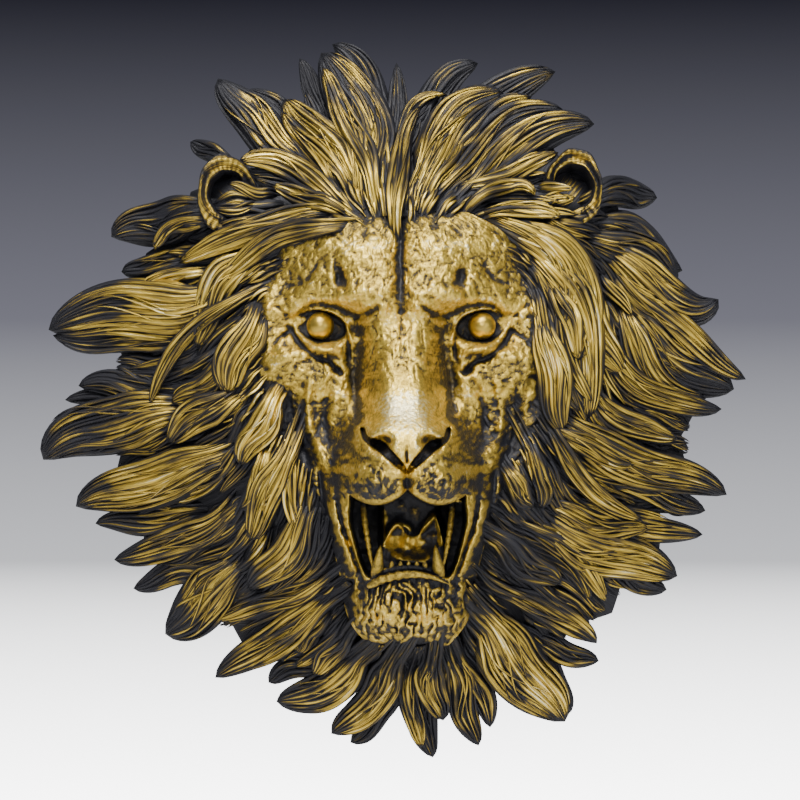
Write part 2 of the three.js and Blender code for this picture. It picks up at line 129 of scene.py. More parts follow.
def along(stations, at):
    """A smooth curve through stations (at, value), level with its end values outside."""
    pairs = sorted(stations)
    xs = np.array([p[0] for p in pairs], float)
    ys = np.array([p[1] for p in pairs], float)
    slopes = np.gradient(ys, xs)
    at = np.clip(at, xs[0], xs[-1])
    k = np.clip(np.searchsorted(xs, at) - 1, 0, len(xs) - 2)
    gap = xs[k + 1] - xs[k]
    t = (at - xs[k]) / gap
    t2, t3 = t * t, t * t * t
    return ((2 * t3 - 3 * t2 + 1) * ys[k] + (t3 - 2 * t2 + t) * gap * slopes[k]
            + (3 * t2 - 2 * t3) * ys[k + 1] + (t3 - t2) * gap * slopes[k + 1])


def scatter(a, b, seed):
    """A repeatable random share for whole numbers a and b: the fraction of a large sine."""
    wave = np.sin(a * 127.1 + b * 311.7 + seed * 74.7) * 43758.5453
    return wave - np.floor(wave)


def ripple(x, z, size, seed):
    """Smooth noise of about -1 to 1: random values on a square lattice, blended across cells."""
    x, z = x / size, z / size
    column, row = np.floor(x), np.floor(z)
    u, v = smooth(0, 1, x - column), smooth(0, 1, z - row)
    low = mix(scatter(column, row, seed), scatter(column + 1, row, seed), u)
    high = mix(scatter(column, row + 1, seed), scatter(column + 1, row + 1, seed), u)
    return 2 * mix(low, high, v) - 1


def chisel(x, z, size, seed):
    """Facets left by a tool: each point takes the tilt and height of its nearest scattered centre."""
    column, row = np.floor(x / size), np.floor(z / size)
    nearest = np.full(np.shape(x), 9.0)
    second = np.full(np.shape(x), 9.0)
    height = np.zeros(np.shape(x))
    for i in (-1, 0, 1):
        for j in (-1, 0, 1):
            a, b = column + i, row + j
            du = x / size - a - scatter(a, b, seed)
            dv = z / size - b - scatter(a, b, seed + 1)
            far = np.hypot(du, dv)
            tilt = (du * (scatter(a, b, seed + 2) - 0.5) + dv * (scatter(a, b, seed + 3) - 0.5))
            facet = 1.6 * tilt + 0.7 * (scatter(a, b, seed + 4) - 0.5)
            closer = far < nearest
            second = np.where(closer, nearest, np.minimum(second, far))
            height = np.where(closer, facet, height)
            nearest = np.where(closer, far, nearest)
    return height - 0.5 * (1 - smooth(0.0, 0.18, second - nearest))


# the ground forms, as in the solid

PROFILE = [
    (134, 92), (116, 108), (92, 120), (72, 128), (53, 131), (34, 141), (14, 153),
    (-6, 169), (-20, 184), (-34, 188), (-46, 184), (-58, 178), (-68, 170), (-84, 150),
    (-104, 138), (-122, 134), (-140, 133), (-156, 120), (-172, 84),
]
PLAN = [
    (134, 40), (124, 62), (108, 80), (84, 94), (50, 104), (20, 106), (-10, 102),
    (-35, 86), (-60, 68), (-90, 55), (-120, 47), (-150, 41), (-172, 24),
]
RIDGE = [
    (134, 66), (104, 62), (80, 50), (60, 31), (40, 25), (16, 25), (-8, 30),
    (-28, 39), (-50, 46), (-70, 47), (-96, 42), (-122, 36), (-150, 37), (-172, 30),
]
HEAPS = [
    (0, 132, 85, 40, 0, 24, 2),
    (124, 148, 30, 30, 0, 26, 2),
]
FORMS = [
    (24, 104, 21, 30, 8, 7, 2),
    (38, 71, 27, 8, -14, 9, 2),
    (14, 66, 9, 11, 0, 4, 2),
    (62, 76, 22, 10, -22, 6, 2),
    (57, 53, 25, 13, -5, -10, 3),
    (57, 37, 23, 4.5, -12, 7, 2),
    (76, 24, 18, 15, 30, 8, 2),
    (47, 14, 11, 20, 8, 5, 2),
    (31, 26, 5, 26, 4, -8, 2),
    (70, -20, 18, 26, 0, -8, 2),
    (86, 92, 16, 22, 0, -4, 2),
    (24, -20, 10, 8, 25, 5, 2),
    (17, -27, 7, 5, -25, -16, 3),
    (26, -55, 19, 13, 12, 9, 2),
    (52, -52, 8, 17, -10, -6, 2),
    (60, -36, 8, 12, -20, 6, 2),
    (45, -92, 7, 26, -12, 6, 2),
    (17, -137, 15, 12, 0, 6, 2),
    (0, 100, 3.5, 38, 0, -6, 2),
    (0, -57, 3, 11, 0, -9, 2),
]


def axis(z):
    """The middle line of the face, which leans a little to the right at the muzzle."""
    return LEAN * (0.5 - np.tanh(z / LEAN_RUN))


def form_rise(form, u, z):
    """One swelling: its rise times a bell over a tilted ellipse, flatter for a higher power."""
    across, up, half_u, half_z, tilt, rise, flat = form
    c, s = math.cos(math.radians(tilt)), math.sin(math.radians(tilt))
    du = ((u - across) * c + (z - up) * s) / half_u
    dz = ((z - up) * c - (u - across) * s) / half_z
    return rise * np.exp(-(np.hypot(du, dz) ** flat))


def face_depth(x, z):
    """Skull ellipsoid, blended to the middle profile across the ridge, plus every form."""
    u = x - axis(z)
    side = np.abs(u)
    swell = 1 - (u / SKULL_HALF_WIDTH) ** 2 - ((z - SKULL_MIDDLE) / SKULL_HALF_HEIGHT) ** 2
    skull = SKULL_DEPTH + SKULL_RISE * np.sqrt(np.maximum(0, swell))
    ridge = np.exp(-((side / along(RIDGE, z)) ** 3.4))
    depth = skull + (along(PROFILE, z) - skull) * ridge
    for form in FORMS:
        depth = depth + form_rise(form, side, z)
    return depth - EDGE_SINK * at_edge(side, z)


def face_half_width(z):
    """Half breadth of the face, from the hairline over the cheeks to the chin."""
    return along(PLAN, z)


def at_edge(side, z):
    """1 at the upper edge of the face, and 0 further in than its band."""
    return 1 - smooth(0, EDGE_BAND, np.minimum(face_half_width(z) - side, FACE_TOP - z))


def inside_face(x, z):
    """How far a place lies inside the plan of the face; below 0 it is outside."""
    held = np.clip(z, FACE_FOOT, FACE_TOP)
    return np.minimum(face_half_width(held) - np.abs(x - axis(held)),
                      np.minimum(FACE_TOP - z, z - FACE_FOOT))


def mane_depth(x, z):
    """A dome from crest to rim, with the hair heaped over the forehead and round the ears."""
    radius = np.hypot(x, z)
    dome = (CREST_DEPTH - RIM_DEPTH) * (1 - smooth(MANE_LEVEL, MANE_SPREAD, radius / REACH))
    depth = RIM_DEPTH + dome - RIM_FALL * np.maximum(0, radius - REACH)
    for heap in HEAPS:
        depth = depth + form_rise(heap, np.abs(x), z)
    return depth


def ground_depth(x, z):
    """The depth of whatever the hair lies on: mane or, inside its plan, the face."""
    inside = (z < FACE_TOP) & (z > FACE_FOOT)
    held = np.clip(z, FACE_FOOT, FACE_TOP)
    inside &= np.abs(x - axis(held)) < face_half_width(held) - 2
    face = np.where(inside, face_depth(x, held) - 2, 0)
    return np.maximum(face, mane_depth(x, z))


# meshes


class Surface:
    """Grids and fans gathered into one mesh, with a strand coordinate at each point."""

    def __init__(self):
        self.points, self.faces, self.strands, self.count = [], [], [], 0

    def add(self, points, faces, strands):
        """Takes points (n, 3), triangles and quads as index arrays, and strands (n, 2)."""
        self.points.append(points)
        self.strands.append(strands)
        self.faces.extend(f + self.count for f in faces)
        self.count += len(points)

    def tube(self, rings, start, end, strands):
        """A closed skin over rings (r, n, 3), each end drawn in to its own point."""
        r, n, _ = rings.shape
        index = np.arange(r * n).reshape(r, n)
        turned = np.roll(index, -1, axis=1)
        quads = np.stack([index[:-1], index[1:], turned[1:], turned[:-1]], -1).reshape(-1, 4)
        first, last = r * n, r * n + 1
        head = np.stack([np.full(n, first), index[0], turned[0]], -1)
        tail = np.stack([index[-1], np.full(n, last), turned[-1]], -1)
        points = np.concatenate([rings.reshape(-1, 3), [start], [end]])
        ends = np.array([strands[0].mean(0), strands[-1].mean(0)])
        self.add(points, [quads, head, tail], np.concatenate([strands.reshape(-1, 2), ends]))

    def mesh(self, name):
        """Writes the gathered points, in metres, into a mesh: smooth, but for the flat back."""
        points = np.concatenate(self.points) * MM
        strands = np.concatenate(self.strands)
        corners = np.concatenate([f.reshape(-1) for f in self.faces]).astype(np.int32)
        sizes = np.concatenate([np.full(len(f), f.shape[1]) for f in self.faces])
        on_wall = np.concatenate([np.all(points[f, 1] > -0.01 * MM, axis=1) for f in self.faces])
        starts = np.concatenate([[0], np.cumsum(sizes)[:-1]]).astype(np.int32)
        mesh = bpy.data.meshes.new(name)
        mesh.vertices.add(len(points))
        mesh.vertices.foreach_set("co", points.astype(np.float32).ravel())
        mesh.loops.add(len(corners))
        mesh.loops.foreach_set("vertex_index", corners)
        mesh.polygons.add(len(sizes))
        mesh.polygons.foreach_set("loop_start", starts)
        mesh.polygons.foreach_set("use_smooth", ~on_wall)
        mesh.update(calc_edges=True)
        layer = mesh.uv_layers.new(name="strands")
        layer.data.foreach_set("uv", strands[corners].astype(np.float32).ravel())
        return mesh


def place(surface, name, material):
    """Makes the piece's object, gives it its finish and says what it rides on and replaces."""
    piece = bpy.data.objects.new(name, surface.mesh(name))
    bpy.context.scene.collection.objects.link(piece)
    piece.data.materials.append(material)
    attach(piece, "root")
    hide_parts(NODE)
    return piece


def frames(spine):
    """For each point of a spine: its forward direction's partners, out from the wall and across."""
    tangent = np.gradient(spine, axis=0)
    tangent /= np.linalg.norm(tangent, axis=1, keepdims=True) + 1e-9
    out = np.array([0.0, -1.0, 0.0]) + tangent * tangent[:, 1:2]
    out /= np.linalg.norm(out, axis=1, keepdims=True) + 1e-9
    return out, np.cross(tangent, out)


def swept(spine, half, front, sides, offset, relief=None, out=None):
    """Rings of a flattened oval carried along a spine, whose last point closes the tip.

    Each ring is half wide to each side and front high, arrays over the spine; its back
    is flatter. Relief(t, c) adds height, c running from -1 to 1 across the front.
    """
    level, across = frames(spine)
    if out is not None:
        out = out / np.linalg.norm(out, axis=1, keepdims=True)
        across = across + out * -np.sum(across * out, axis=1, keepdims=True)
        across /= np.linalg.norm(across, axis=1, keepdims=True)
    else:
        out = level
    count = len(spine) - 1
    t = np.linspace(0, 1, count + 1)[:-1, None]
    turn = 2 * np.pi * (np.arange(sides) + 0.5) / sides
    cos, sin = np.cos(turn)[None, :], np.sin(turn)[None, :]
    widths, heights = half[:-1, None], front[:-1, None]
    rise = sin * heights * np.where(sin > 0, 1.0, 0.6)
    if relief is not None:
        rise = rise + relief(t, cos) * np.maximum(sin, 0) ** 0.5
    rings = (spine[:-1, None, :] + across[:-1, None, :] * (cos * widths)[..., None]
             + out[:-1, None, :] * rise[..., None])
    run = np.concatenate([[0], np.cumsum(np.linalg.norm(np.diff(spine, axis=0), axis=1))])
    strands = np.stack([cos * np.maximum(widths, 1.5) + offset + 0 * rise,
                        run[:-1, None] + 0 * rise], -1)
    return rings, spine[0], spine[-1], strands


def bend(row, t):
    """A cubic curve from root to tip that leaves and arrives at the row's two turns."""
    root_x, root_z, tip_x, tip_z, leave, arrive = row[:6]
    heading = math.atan2(tip_z - root_z, tip_x - root_x)
    arm = 0.38 * math.hypot(tip_x - root_x, tip_z - root_z)
    a, b = heading + math.radians(leave), heading + math.radians(arrive)
    s = 1 - t
    start_x, start_z = root_x - ROOT_REACH * math.cos(a), root_z - ROOT_REACH * math.sin(a)
    weights = (s ** 3, 3 * s * s * t, 3 * s * t * t, t ** 3)
    xs = (start_x, root_x + arm * math.cos(a), tip_x - arm * math.cos(b), tip_x)
    zs = (start_z, root_z + arm * math.sin(a), tip_z - arm * math.sin(b), tip_z)
    return (sum(w * v for w, v in zip(weights, xs)), sum(w * v for w, v in zip(weights, zs)))


def eased(values):
    """Takes the corners off a run of depths: a bell-weighted running mean, straight at its ends."""
    reach = max(2, len(values) // 6)
    bell = np.exp(-2.0 * (np.arange(-reach, reach + 1) / reach) ** 2)
    before = 2 * values[0] - values[reach:0:-1]
    after = 2 * values[-1] - values[-2:-reach - 2:-1]
    return np.convolve(np.concatenate([before, values, after]), bell / bell.sum(), "valid")


def laid(x, z, stand):
    """A spine over the places x and z, as high over the eased ground as stand says."""
    return np.stack([x, -(eased(ground_depth(x, z)) + stand), z], -1)


def lock_spine(row, t):
    """Centre line of a lock: its bend over the ground, raised by its layer and tip lift."""
    stand = row[7] * smooth(-0.15, 0.3, t) - ROOT_SINK * (1 - smooth(0, 0.25, t))
    return laid(*bend(row, t), stand + LOCK_TIP_LIFT * t * t)


def lock_half(row, t):
    """Half breadth of a lock: it swells from a thin root and closes on a point."""
    return (row[6] * LOCK_FULLNESS * 0.5 * (0.15 + 0.85 * smooth(0, 0.4, t))
            * np.maximum(0, 1 - np.clip(t, 0, 1) ** 5) ** 0.7)


def lock_front(row, t):
    """Height of a lock's back over its centre line."""
    swell = 0.4 + 0.6 * smooth(0, 0.35, t)
    return 0.36 * row[6] * LOCK_FULLNESS * swell * np.sqrt(np.maximum(0.01, 1 - np.maximum(0, t) ** 2.6))


def add_lock(surface, row, random):
    """One lock: a furrowed body, and full-length strands that wave over it together."""
    length = math.hypot(row[2] - row[0], row[3] - row[1])
    rings = max(16, int(LOCK_RINGS * min(1.0, 0.4 + length / 130)))
    breadth = row[6] * LOCK_FULLNESS
    furrows = max(2, round(breadth / 6.0))
    phase = any_phase(random)
    wave = (min(0.07 * breadth + 0.016 * length, 3.6), random.uniform(0.8, 1.25),
            any_phase(random))

    def relief(t, c):
        """Furrows along the body, which fade towards the tip."""
        groove = np.abs(np.sin(np.pi * furrows * 0.5 * (c + 1) + phase + np.sin(4 * t)))
        return 0.08 * row[6] * (groove ** 0.7 - 0.6) * (1 - t ** 4)

    t = np.linspace(0, 1, rings + 1)
    spine = lock_spine(row, t)
    _, across = frames(spine)
    spine = spine + across * sway(wave, t)[:, None]
    surface.tube(*swept(spine, lock_half(row, t) * 0.96, lock_front(row, t) * 0.86, LOCK_SIDES,
                        any_streak(random), relief))
    count = int(np.clip(round(breadth / STRAND_PITCH), 3, 12))
    for i in range(count):
        add_strand(surface, row, random, (i + 0.5) / count * 2 - 1, count, wave, rings)
    for _ in range(1 + count // 3):
        add_strand(surface, row, random, random.uniform(-0.6, 0.6), count * 2.4, wave, rings, 0.45)


def any_phase(random):
    """Where in its turn a wave begins."""
    return random.uniform(0, 6.28)


def any_streak(random):
    """A place across the streaks of wear, so that no two strands show the same ones."""
    return random.uniform(0, 400)


def sway(wave, t):
    """How far a lock's strands swing aside together: a sine that grows from a still root."""
    swing, beat, phase = wave
    return swing * np.sin(2 * np.pi * beat * t + phase) * smooth(0.0, 0.3, t) * (1 - 0.5 * t ** 3)


def out_of_mouth(spine):
    """Sends the part of a strand that would cross the open mouth down behind its floor."""
    x, z = spine[:, 0], spine[:, 2]
    share = mouth(0.94 * (x - axis(z)), z)
    spine[:, 1] = mix(spine[:, 1], -(MOUTH_FLOOR - 25), share)
    return spine


def add_strand(surface, row, random, place_across, count, wave, rings, stray=0.0):
    """One strand of a lock at a share across it; a stray one crosses its neighbours."""
    pitch = row[6] * LOCK_FULLNESS / count
    at = 0.86 * place_across + random.uniform(-0.1, 0.1) / count
    reach = math.hypot(row[2] - row[0], row[3] - row[1])
    begin = 0.25 * stray - random.uniform(0.0, 12.0) / reach
    finish = 1.0 - 0.07 * abs(at) * random.uniform(0.2, 1.3) - 0.3 * stray
    s = np.linspace(0, 1, rings + 1)
    t = mix(begin, finish, s)
    own = 2 * np.pi * random.uniform(0.9, 1.9) * s + any_phase(random)
    spine = lock_spine(row, t)
    out, across = frames(spine)
    drift = stray * np.sin(np.pi * (s - 0.5)) * random.choice([-1.0, 1.0])
    share = np.clip(at + drift + 0.3 / count * np.sin(own), -0.97, 0.97)
    crest = np.sqrt(np.maximum(0.04, 1 - share ** 2))
    over = random.uniform(-0.5, 1.3) + 3.0 * stray + 0.9 * np.sin(own * 0.8 + 1.7)
    ends = smooth(0, 0.2, s) * smooth(1, 0.75, s)
    rise = lock_front(row, t) * crest * 0.8 + over * ends - 2.5 * (1 - smooth(0, 0.2, s))
    fan = np.maximum(lock_half(row, t), 0.28 * row[6] * LOCK_FULLNESS * smooth(0.6, 0.2, t))
    aside = share * fan + sway(wave, t)
    spine = out_of_mouth(spine + across * aside[:, None] + out * rise[:, None])
    facing = out * crest[:, None] + across * (0.7 * share)[:, None]
    half = 0.5 * pitch * random.uniform(0.55, 1.35) * (1 + 0.16 * np.sin(own * 1.3))
    width = half * (0.6 + 0.4 * smooth(0, 0.4, s)) * np.maximum(0, 1 - s ** 6) ** 0.6
    surface.tube(*swept(spine, width, width * 0.95 + 0.2, STRAND_SIDES, any_streak(random),
                        out=facing))


# Rows: root x, root z, tip x, tip z, leaving turn, arriving turn, breadth, layer.
CROWN = [
    (-64, 167, -128, 229, 15, -21, 21, 4),
    (-50, 163, -110, 220, -5, 14, 14, 0),
    (-33, 149, -82, 214, -3, 4, 20, 7),
    (-48, 150, -84, 204, -4, 10, 9, 9),
    (-40, 150, -69, 218, -6, 8, 9, 5),
    (-45, 178, -73, 242, -8, 8, 11, 2),
    (-22, 142, -56, 247, -9, 28, 28, 6),
    (-12, 142, -50, 251, -13, 42, 20, 2),
    (-19, 139, -57, 235, -5, 12, 13, 16),
    (-41, 135, -113, 166, -39, 40, 13, 10),
    (-43, 132, -90, 149, -11, 11, 10, 10),
    (-39, 130, -155, 96, -38, 3, 14, 8),
    (-36, 124, -130, 85, -35, 5, 11, 8),
    (-124, 168, -148, 183, 0, 8, 9, 12),
    (-10, 132, -3, 239, 18, 8, 11, 4),
    (-5, 114, 32, 214, 30, -80, 8, 8),
    (-3, 114, 14, 207, 16, -28, 10, 8),
    (2, 163, 54, 238, 35, -34, 17, 0),
    (18, 149, 108, 233, 25, -37, 21, 3),
    (25, 150, 91, 214, 22, -30, 13, 8),
    (11, 142, 71, 218, 30, -26, 24, 8),
    (20, 139, 113, 206, 18, -36, 15, 6),
    (38, 135, 135, 194, 27, -33, 21, 4),
    (48, 139, 91, 143, 52, -72, 8, 12),
    (41, 149, 109, 174, -2, 10, 10, 12),
    (62, 132, 109, 127, 26, -29, 9, 12),
]
RIGHT = [
    (72, 122, 123, 29, 61, -54, 20, 7),
    (105, 79, 122, 30, 5, -6, 10, 12),
    (130, 140, 179, 144, 20, -24, 15, 4),
    (132, 127, 197, 94, 45, 9, 15, 5),
    (128, 117, 193, 84, 20, -7, 21, 4),
    (139, 111, 221, 74, -17, 65, 21, 7),
    (142, 104, 242, 18, -10, 18, 15, 8),
    (167, 72, 215, 39, -8, 8, 11, 0),
    (154, 69, 233, 8, -13, 23, 24, 0),
    (151, 69, 213, 3, -49, 46, 16, 4),
    (140, 58, 224, -4, -56, 46, 14, 8),
    (130, 13, 192, -24, -41, 28, 12, 8),
    (104, 79, 130, -1, -10, 7, 9, 8),
    (105, 30, 121, -6, -16, 17, 8, 8),
    (100, -8, 227, -66, -20, -7, 21, 7),
    (139, -54, 213, -76, 12, -8, 14, 2),
    (107, -19, 161, -42, -13, 13, 11, 13),
    (98, -12, 167, -82, -24, 17, 9, 10),
    (111, -68, 211, -94, 4, 10, 14, 4),
    (100, -71, 172, -89, -13, 8, 14, 7),
    (93, -78, 193, -122, -6, 6, 24, 6),
    (90, -34, 95, -73, 20, -20, 10, 4),
    (79, -82, 144, -138, 12, -23, 12, 9),
    (125, -100, 186, -131, 4, 6, 15, 2),
    (72, -88, 132, -137, 8, -25, 11, 5),
    (62, -92, 110, -126, -4, 4, 15, 8),
    (69, -131, 137, -168, -11, -30, 13, 7),
    (93, -166, 138, -182, -3, 0, 12, 2),
    (75, -52, 90, -72, -10, 10, 10, 6),
    (60, 128, 112, 52, 62, -52, 15, 8),
    (84, 112, 128, -12, 25, -25, 23, 4),
    (112, 100, 152, 18, -10, 10, 23, 3),
    (98, 58, 112, -20, -8, 8, 17, 5),
]
LEFT = [
    (-98, 104, -142, 38, -25, 25, 19, 4),
    (-102, 60, -120, 6, -10, 10, 19, 6),
    (-131, 132, -203, 115, -12, 20, 22, 5),
    (-136, 127, -173, 107, -25, 38, 8, 13),
    (-148, 99, -197, 92, -8, 8, 13, 0),
    (-133, 92, -185, 73, -24, 28, 10, 8),
    (-115, 80, -249, 53, 24, 12, 29, 7),
    (-138, 48, -245, 49, 15, -12, 13, 6),
    (-94, 82, -175, -3, -35, 22, 8, 12),
    (-141, 9, -200, 25, 8, -8, 11, 2),
    (-141, 2, -227, 11, -5, 14, 16, 3),
    (-150, -2, -237, 2, 0, 5, 11, 0),
    (-108, 29, -159, -1, 0, 0, 15, 8),
    (-141, -6, -251, -41, -14, 33, 28, 6),
    (-116, 7, -162, -27, -3, 6, 17, 9),
    (-113, -33, -228, -74, 14, 16, 25, 7),
    (-138, -76, -215, -86, 4, 8, 13, 3),
    (-169, -60, -223, -71, 0, 0, 9, 8),
    (-115, -68, -202, -109, 25, -23, 16, 6),
    (-117, -110, -189, -129, -5, 3, 14, 3),
    (-110, -110, -167, -161, 12, -8, 26, 5),
    (-87, 3, -111, -43, 0, 0, 15, 5),
    (-78, -33, -106, -94, 4, -3, 17, 6),
    (-94, -36, -112, -72, 14, -36, 8, 9),
    (-76, -40, -70, -96, -9, 8, 7, 4),
    (-64, -71, -106, -130, 17, -12, 18, 5),
]
FOOT = [
    (-50, -117, -129, -151, 11, -12, 12, 6),
    (-47, -131, -130, -194, 0, 2, 17, 6),
    (-54, -148, -74, -174, 0, 0, 11, 6),
    (-38, -160, -62, -190, 0, -8, 12, 6),
    (-56, -181, -94, -196, -15, 15, 11, 0),
    (-21, -169, -88, -210, 23, -16, 20, 5),
    (0, -169, -49, -233, 13, -14, 18, 6),
    (-2, -195, -37, -238, 15, -15, 14, 0),
    (7, -183, 14, -242, -23, 15, 11, 5),
    (9, -187, 21, -250, 0, 0, 15, -2),
    (21, -174, 28, -223, -15, 12, 15, 6),
    (32, -172, 53, -241, -6, -4, 15, 5),
    (37, -169, 62, -228, 4, -10, 13, 2),
    (50, -143, 113, -225, 0, -5, 30, 6),
    (97, -176, 115, -220, 15, -15, 13, 2),
]


# shader helpers


class Wire:
    """A value socket in a node tree; arithmetic on it, from either side, adds Math nodes."""

    def __init__(self, paint, socket):
        self.paint, self.socket = paint, socket

    def _math(self, operation, a, b):
        return self.paint.node("ShaderNodeMath", {"operation": operation}, {0: a, 1: b})

    def __add__(self, other):
        return self._math("ADD", self, other)

    def __sub__(self, other):
        return self._math("SUBTRACT", self, other)

    def __rsub__(self, other):
        return self._math("SUBTRACT", other, self)

    def __mul__(self, other):
        return self._math("MULTIPLY", self, other)

    __radd__ = __add__
    __rmul__ = __mul__


class Paint:
    """The node tree of a material or a world, filled through one method."""

    def __init__(self, owner):
        owner.use_nodes = True
        self.owner, self.tree = owner, owner.node_tree
        self.tree.nodes.clear()

    def node(self, kind, settings=None, inputs=None, output=0):
        """Adds a node, sets it up, wires or fills its inputs and returns one output."""
        node = self.tree.nodes.new(kind)
        for key, value in (settings or {}).items():
            if key == "stops":
                set_stops(node.color_ramp, value)
            else:
                setattr(node, key, value)
        for key, value in (inputs or {}).items():
            if isinstance(value, Wire):
                self.tree.links.new(value.socket, node.inputs[key])
            else:
                node.inputs[key].default_value = value
        return Wire(self, node.outputs[output]) if node.outputs else None


def set_stops(ramp, stops):
    """Gives a colour ramp its stops, each a place and a colour."""
    while len(ramp.elements) < len(stops):
        ramp.elements.new(1.0)
    for element, (position, colour) in zip(ramp.elements, stops):
        element.position = position
        element.color = (*colour, 1.0)


def wear_noises(paint, streaks):
    """Fine wear, broad patches and the weight of the patches.

    Streaks follow the strands on hair; on skin the wear is the same in all directions.
    """
    if streaks:
        where = paint.node("ShaderNodeUVMap", {"uv_map": "strands"})
        grain = paint.node("ShaderNodeMapping", {}, {0: where, "Scale": (1.1, 0.022, 1.0)})
        spot = paint.node("ShaderNodeMapping", {}, {0: where, "Scale": (0.12, 0.03, 1.0)})
        size, detail, spot_size, spot_weight = 1.0, 3.0, 1.0, 1.1
    else:
        grain = spot = paint.node("ShaderNodeTexCoord", output=3)
        size, detail, spot_size, spot_weight = 420.0, 4.0, 55.0, 0.25
    wear = paint.node("ShaderNodeTexNoise", {},
                      {"Vector": grain, "Scale": size, "Detail": detail, "Roughness": 0.6})
    patches = paint.node("ShaderNodeTexNoise", {},
                         {"Vector": spot, "Scale": spot_size, "Detail": 2.0, "Roughness": 0.5})
    return wear, patches, spot_weight


def gilded(name, look, streaks, roughness_shift=0.0, rubbed=1.0):
    """Gold rubbed over black: the gilt share of the surface, broken up by wear."""
    paint = Paint(bpy.data.materials.new(name))
    gilt = paint.node("ShaderNodeAttribute", {"attribute_name": "gilt"}, output=2)
    wear, patches, spot_weight = wear_noises(paint, streaks)
    share = gilt + (wear - 0.5) * (look.wear * rubbed) + (patches - 0.5) * (spot_weight * rubbed)
    # The last stop, worn, colours the painted highlight on the nose and the few crests that reach it.
    stops = [(0.3, look.patina), (0.45, look.umber), (0.62, look.gold), (0.9, look.highlight),
             (1.0, look.worn)]
    colour = paint.node("ShaderNodeValToRGB", {"stops": stops}, {0: share})
    shine = paint.node("ShaderNodeMapRange", {}, {
        0: share, 1: 0.3, 2: 1.0, 3: 0.52 + roughness_shift, 4: look.polish + roughness_shift})
    metal = paint.node("ShaderNodeMapRange", {}, {0: share, 1: 0.3, 2: 0.6, 3: 0.25, 4: 0.9})
    bump = paint.node("ShaderNodeBump", {}, {
        "Strength": 0.6 * min(1.0, 2.0 * rubbed), "Distance": 0.0016, "Height": wear})
    shader = paint.node("ShaderNodeBsdfPrincipled", {}, {
        "Base Color": colour, "Roughness": shine, "Metallic": metal, "Normal": bump})
    paint.node("ShaderNodeOutputMaterial", {}, {0: shader})
    return paint.owner


def finish(name, streaks=False, roughness_shift=0.0, rubbed=1.0):
    """The named finish, made once."""
    known = bpy.data.materials.get(name)
    if known:
        return known
    return gilded(name, bpy.context.scene.lion_finish, streaks, roughness_shift, rubbed)


# the face

# Raised or sunk lines of the face on both sides of the middle: half breadth,
# rise, and points (across, up).
FACE_LINES = [
    # rolled rims of the lids, and the folds round them
    (1.6, 5.0, [(35, 34), (35.5, 46), (39, 55), (45, 61), (54, 63), (63, 61), (69, 56)]),
    (2.7, 6.0, [(74, 53), (66, 43), (55, 37), (45, 35), (38, 30)]),
    (1.8, -4.5, [(77, 53), (71, 42), (60, 32), (50, 28), (43, 21)]),
    (2.2, -5.0, [(11, 69), (19, 63), (29, 59), (37, 62), (45, 66), (60, 67), (72, 60)]),
    (1.6, -4.0, [(36, 44), (36, 34), (38, 27)]),
    (1.5, -2.5, [(76, 57), (84, 65), (92, 68)]),
    (1.5, -2.5, [(75, 50), (84, 45), (90, 38)]),
    # forehead and brow folds
    (3.0, -1.6, [(25, 135), (24, 118), (27, 104)]),
    (2.4, -2.0, [(41, 88), (44, 78), (45, 70)]),
    (2.4, -1.6, [(12, 82), (18, 74), (24, 70)]),
    (2.2, -1.8, [(55, 100), (60, 90), (66, 84), (76, 82)]),
    # valley from the eye to the nostril, and folds of the muzzle
    (4.0, -5.0, [(36, 24), (33, 8), (32, -6), (34, -16)]),
    (2.4, 2.5, [(28, -14), (33, -20), (34, -28), (29, -35)]),
    # lips running down beside the open mouth
    (3.4, 6.0, [(44, -58), (42, -76), (36, -94), (31, -110), (28, -122)]),
    (1.5, -5.0, [(49, -60), (46, -78), (40, -96), (34, -113), (31, -122)]),
    (4.2, 7.0, [(54, -48), (51, -72), (46, -92), (39, -112), (34, -126)]),
    (2.0, -6.0, [(60, -44), (58, -66), (53, -88)]),
    # cheek folds
    (3.0, -3.5, [(46, 18), (52, 6), (55, -8), (54, -24)]),
    (3.0, 3.0, [(62, 20), (66, 4), (66, -14), (62, -30)]),
    (3.0, -3.0, [(78, 12), (78, -6), (74, -26), (66, -42)]),
]
# Small pits and bosses: across, up, half breadth, half height, tilt, rise.
FACE_PITS = [
    (41, 86, 4, 7.5, -18, -8),
    (44, 22, 5, 3, 30, -5),
    (91, 66, 3.5, 3.5, 0, 4),
    (32, 43, 3.5, 6, 0, 4),
    (12, 66, 4, 4, 0, 3),
    (58, -34, 6, 10, -12, 6),
    (66, -16, 5, 6, 0, 4),
]


def to_line(u, z, points):
    """Distance to a smooth line through a few points, and the share along it."""
    knots = np.array(points, float)
    share = np.linspace(0, 1, len(knots))
    fine = np.linspace(0, 1, 8 * len(knots))
    line_u = along(list(zip(share, knots[:, 0])), fine)
    line_z = along(list(zip(share, knots[:, 1])), fine)
    best = np.full(np.shape(u), 1e9)
    at = np.zeros(np.shape(u))
    for k in range(len(fine) - 1):
        du, dz = line_u[k + 1] - line_u[k], line_z[k + 1] - line_z[k]
        t = np.clip(((u - line_u[k]) * du + (z - line_z[k]) * dz) / (du * du + dz * dz), 0, 1)
        far = np.hypot(u - line_u[k] - t * du, z - line_z[k] - t * dz)
        at = np.where(far < best, mix(fine[k], fine[k + 1], t), at)
        best = np.minimum(best, far)
    return best, at


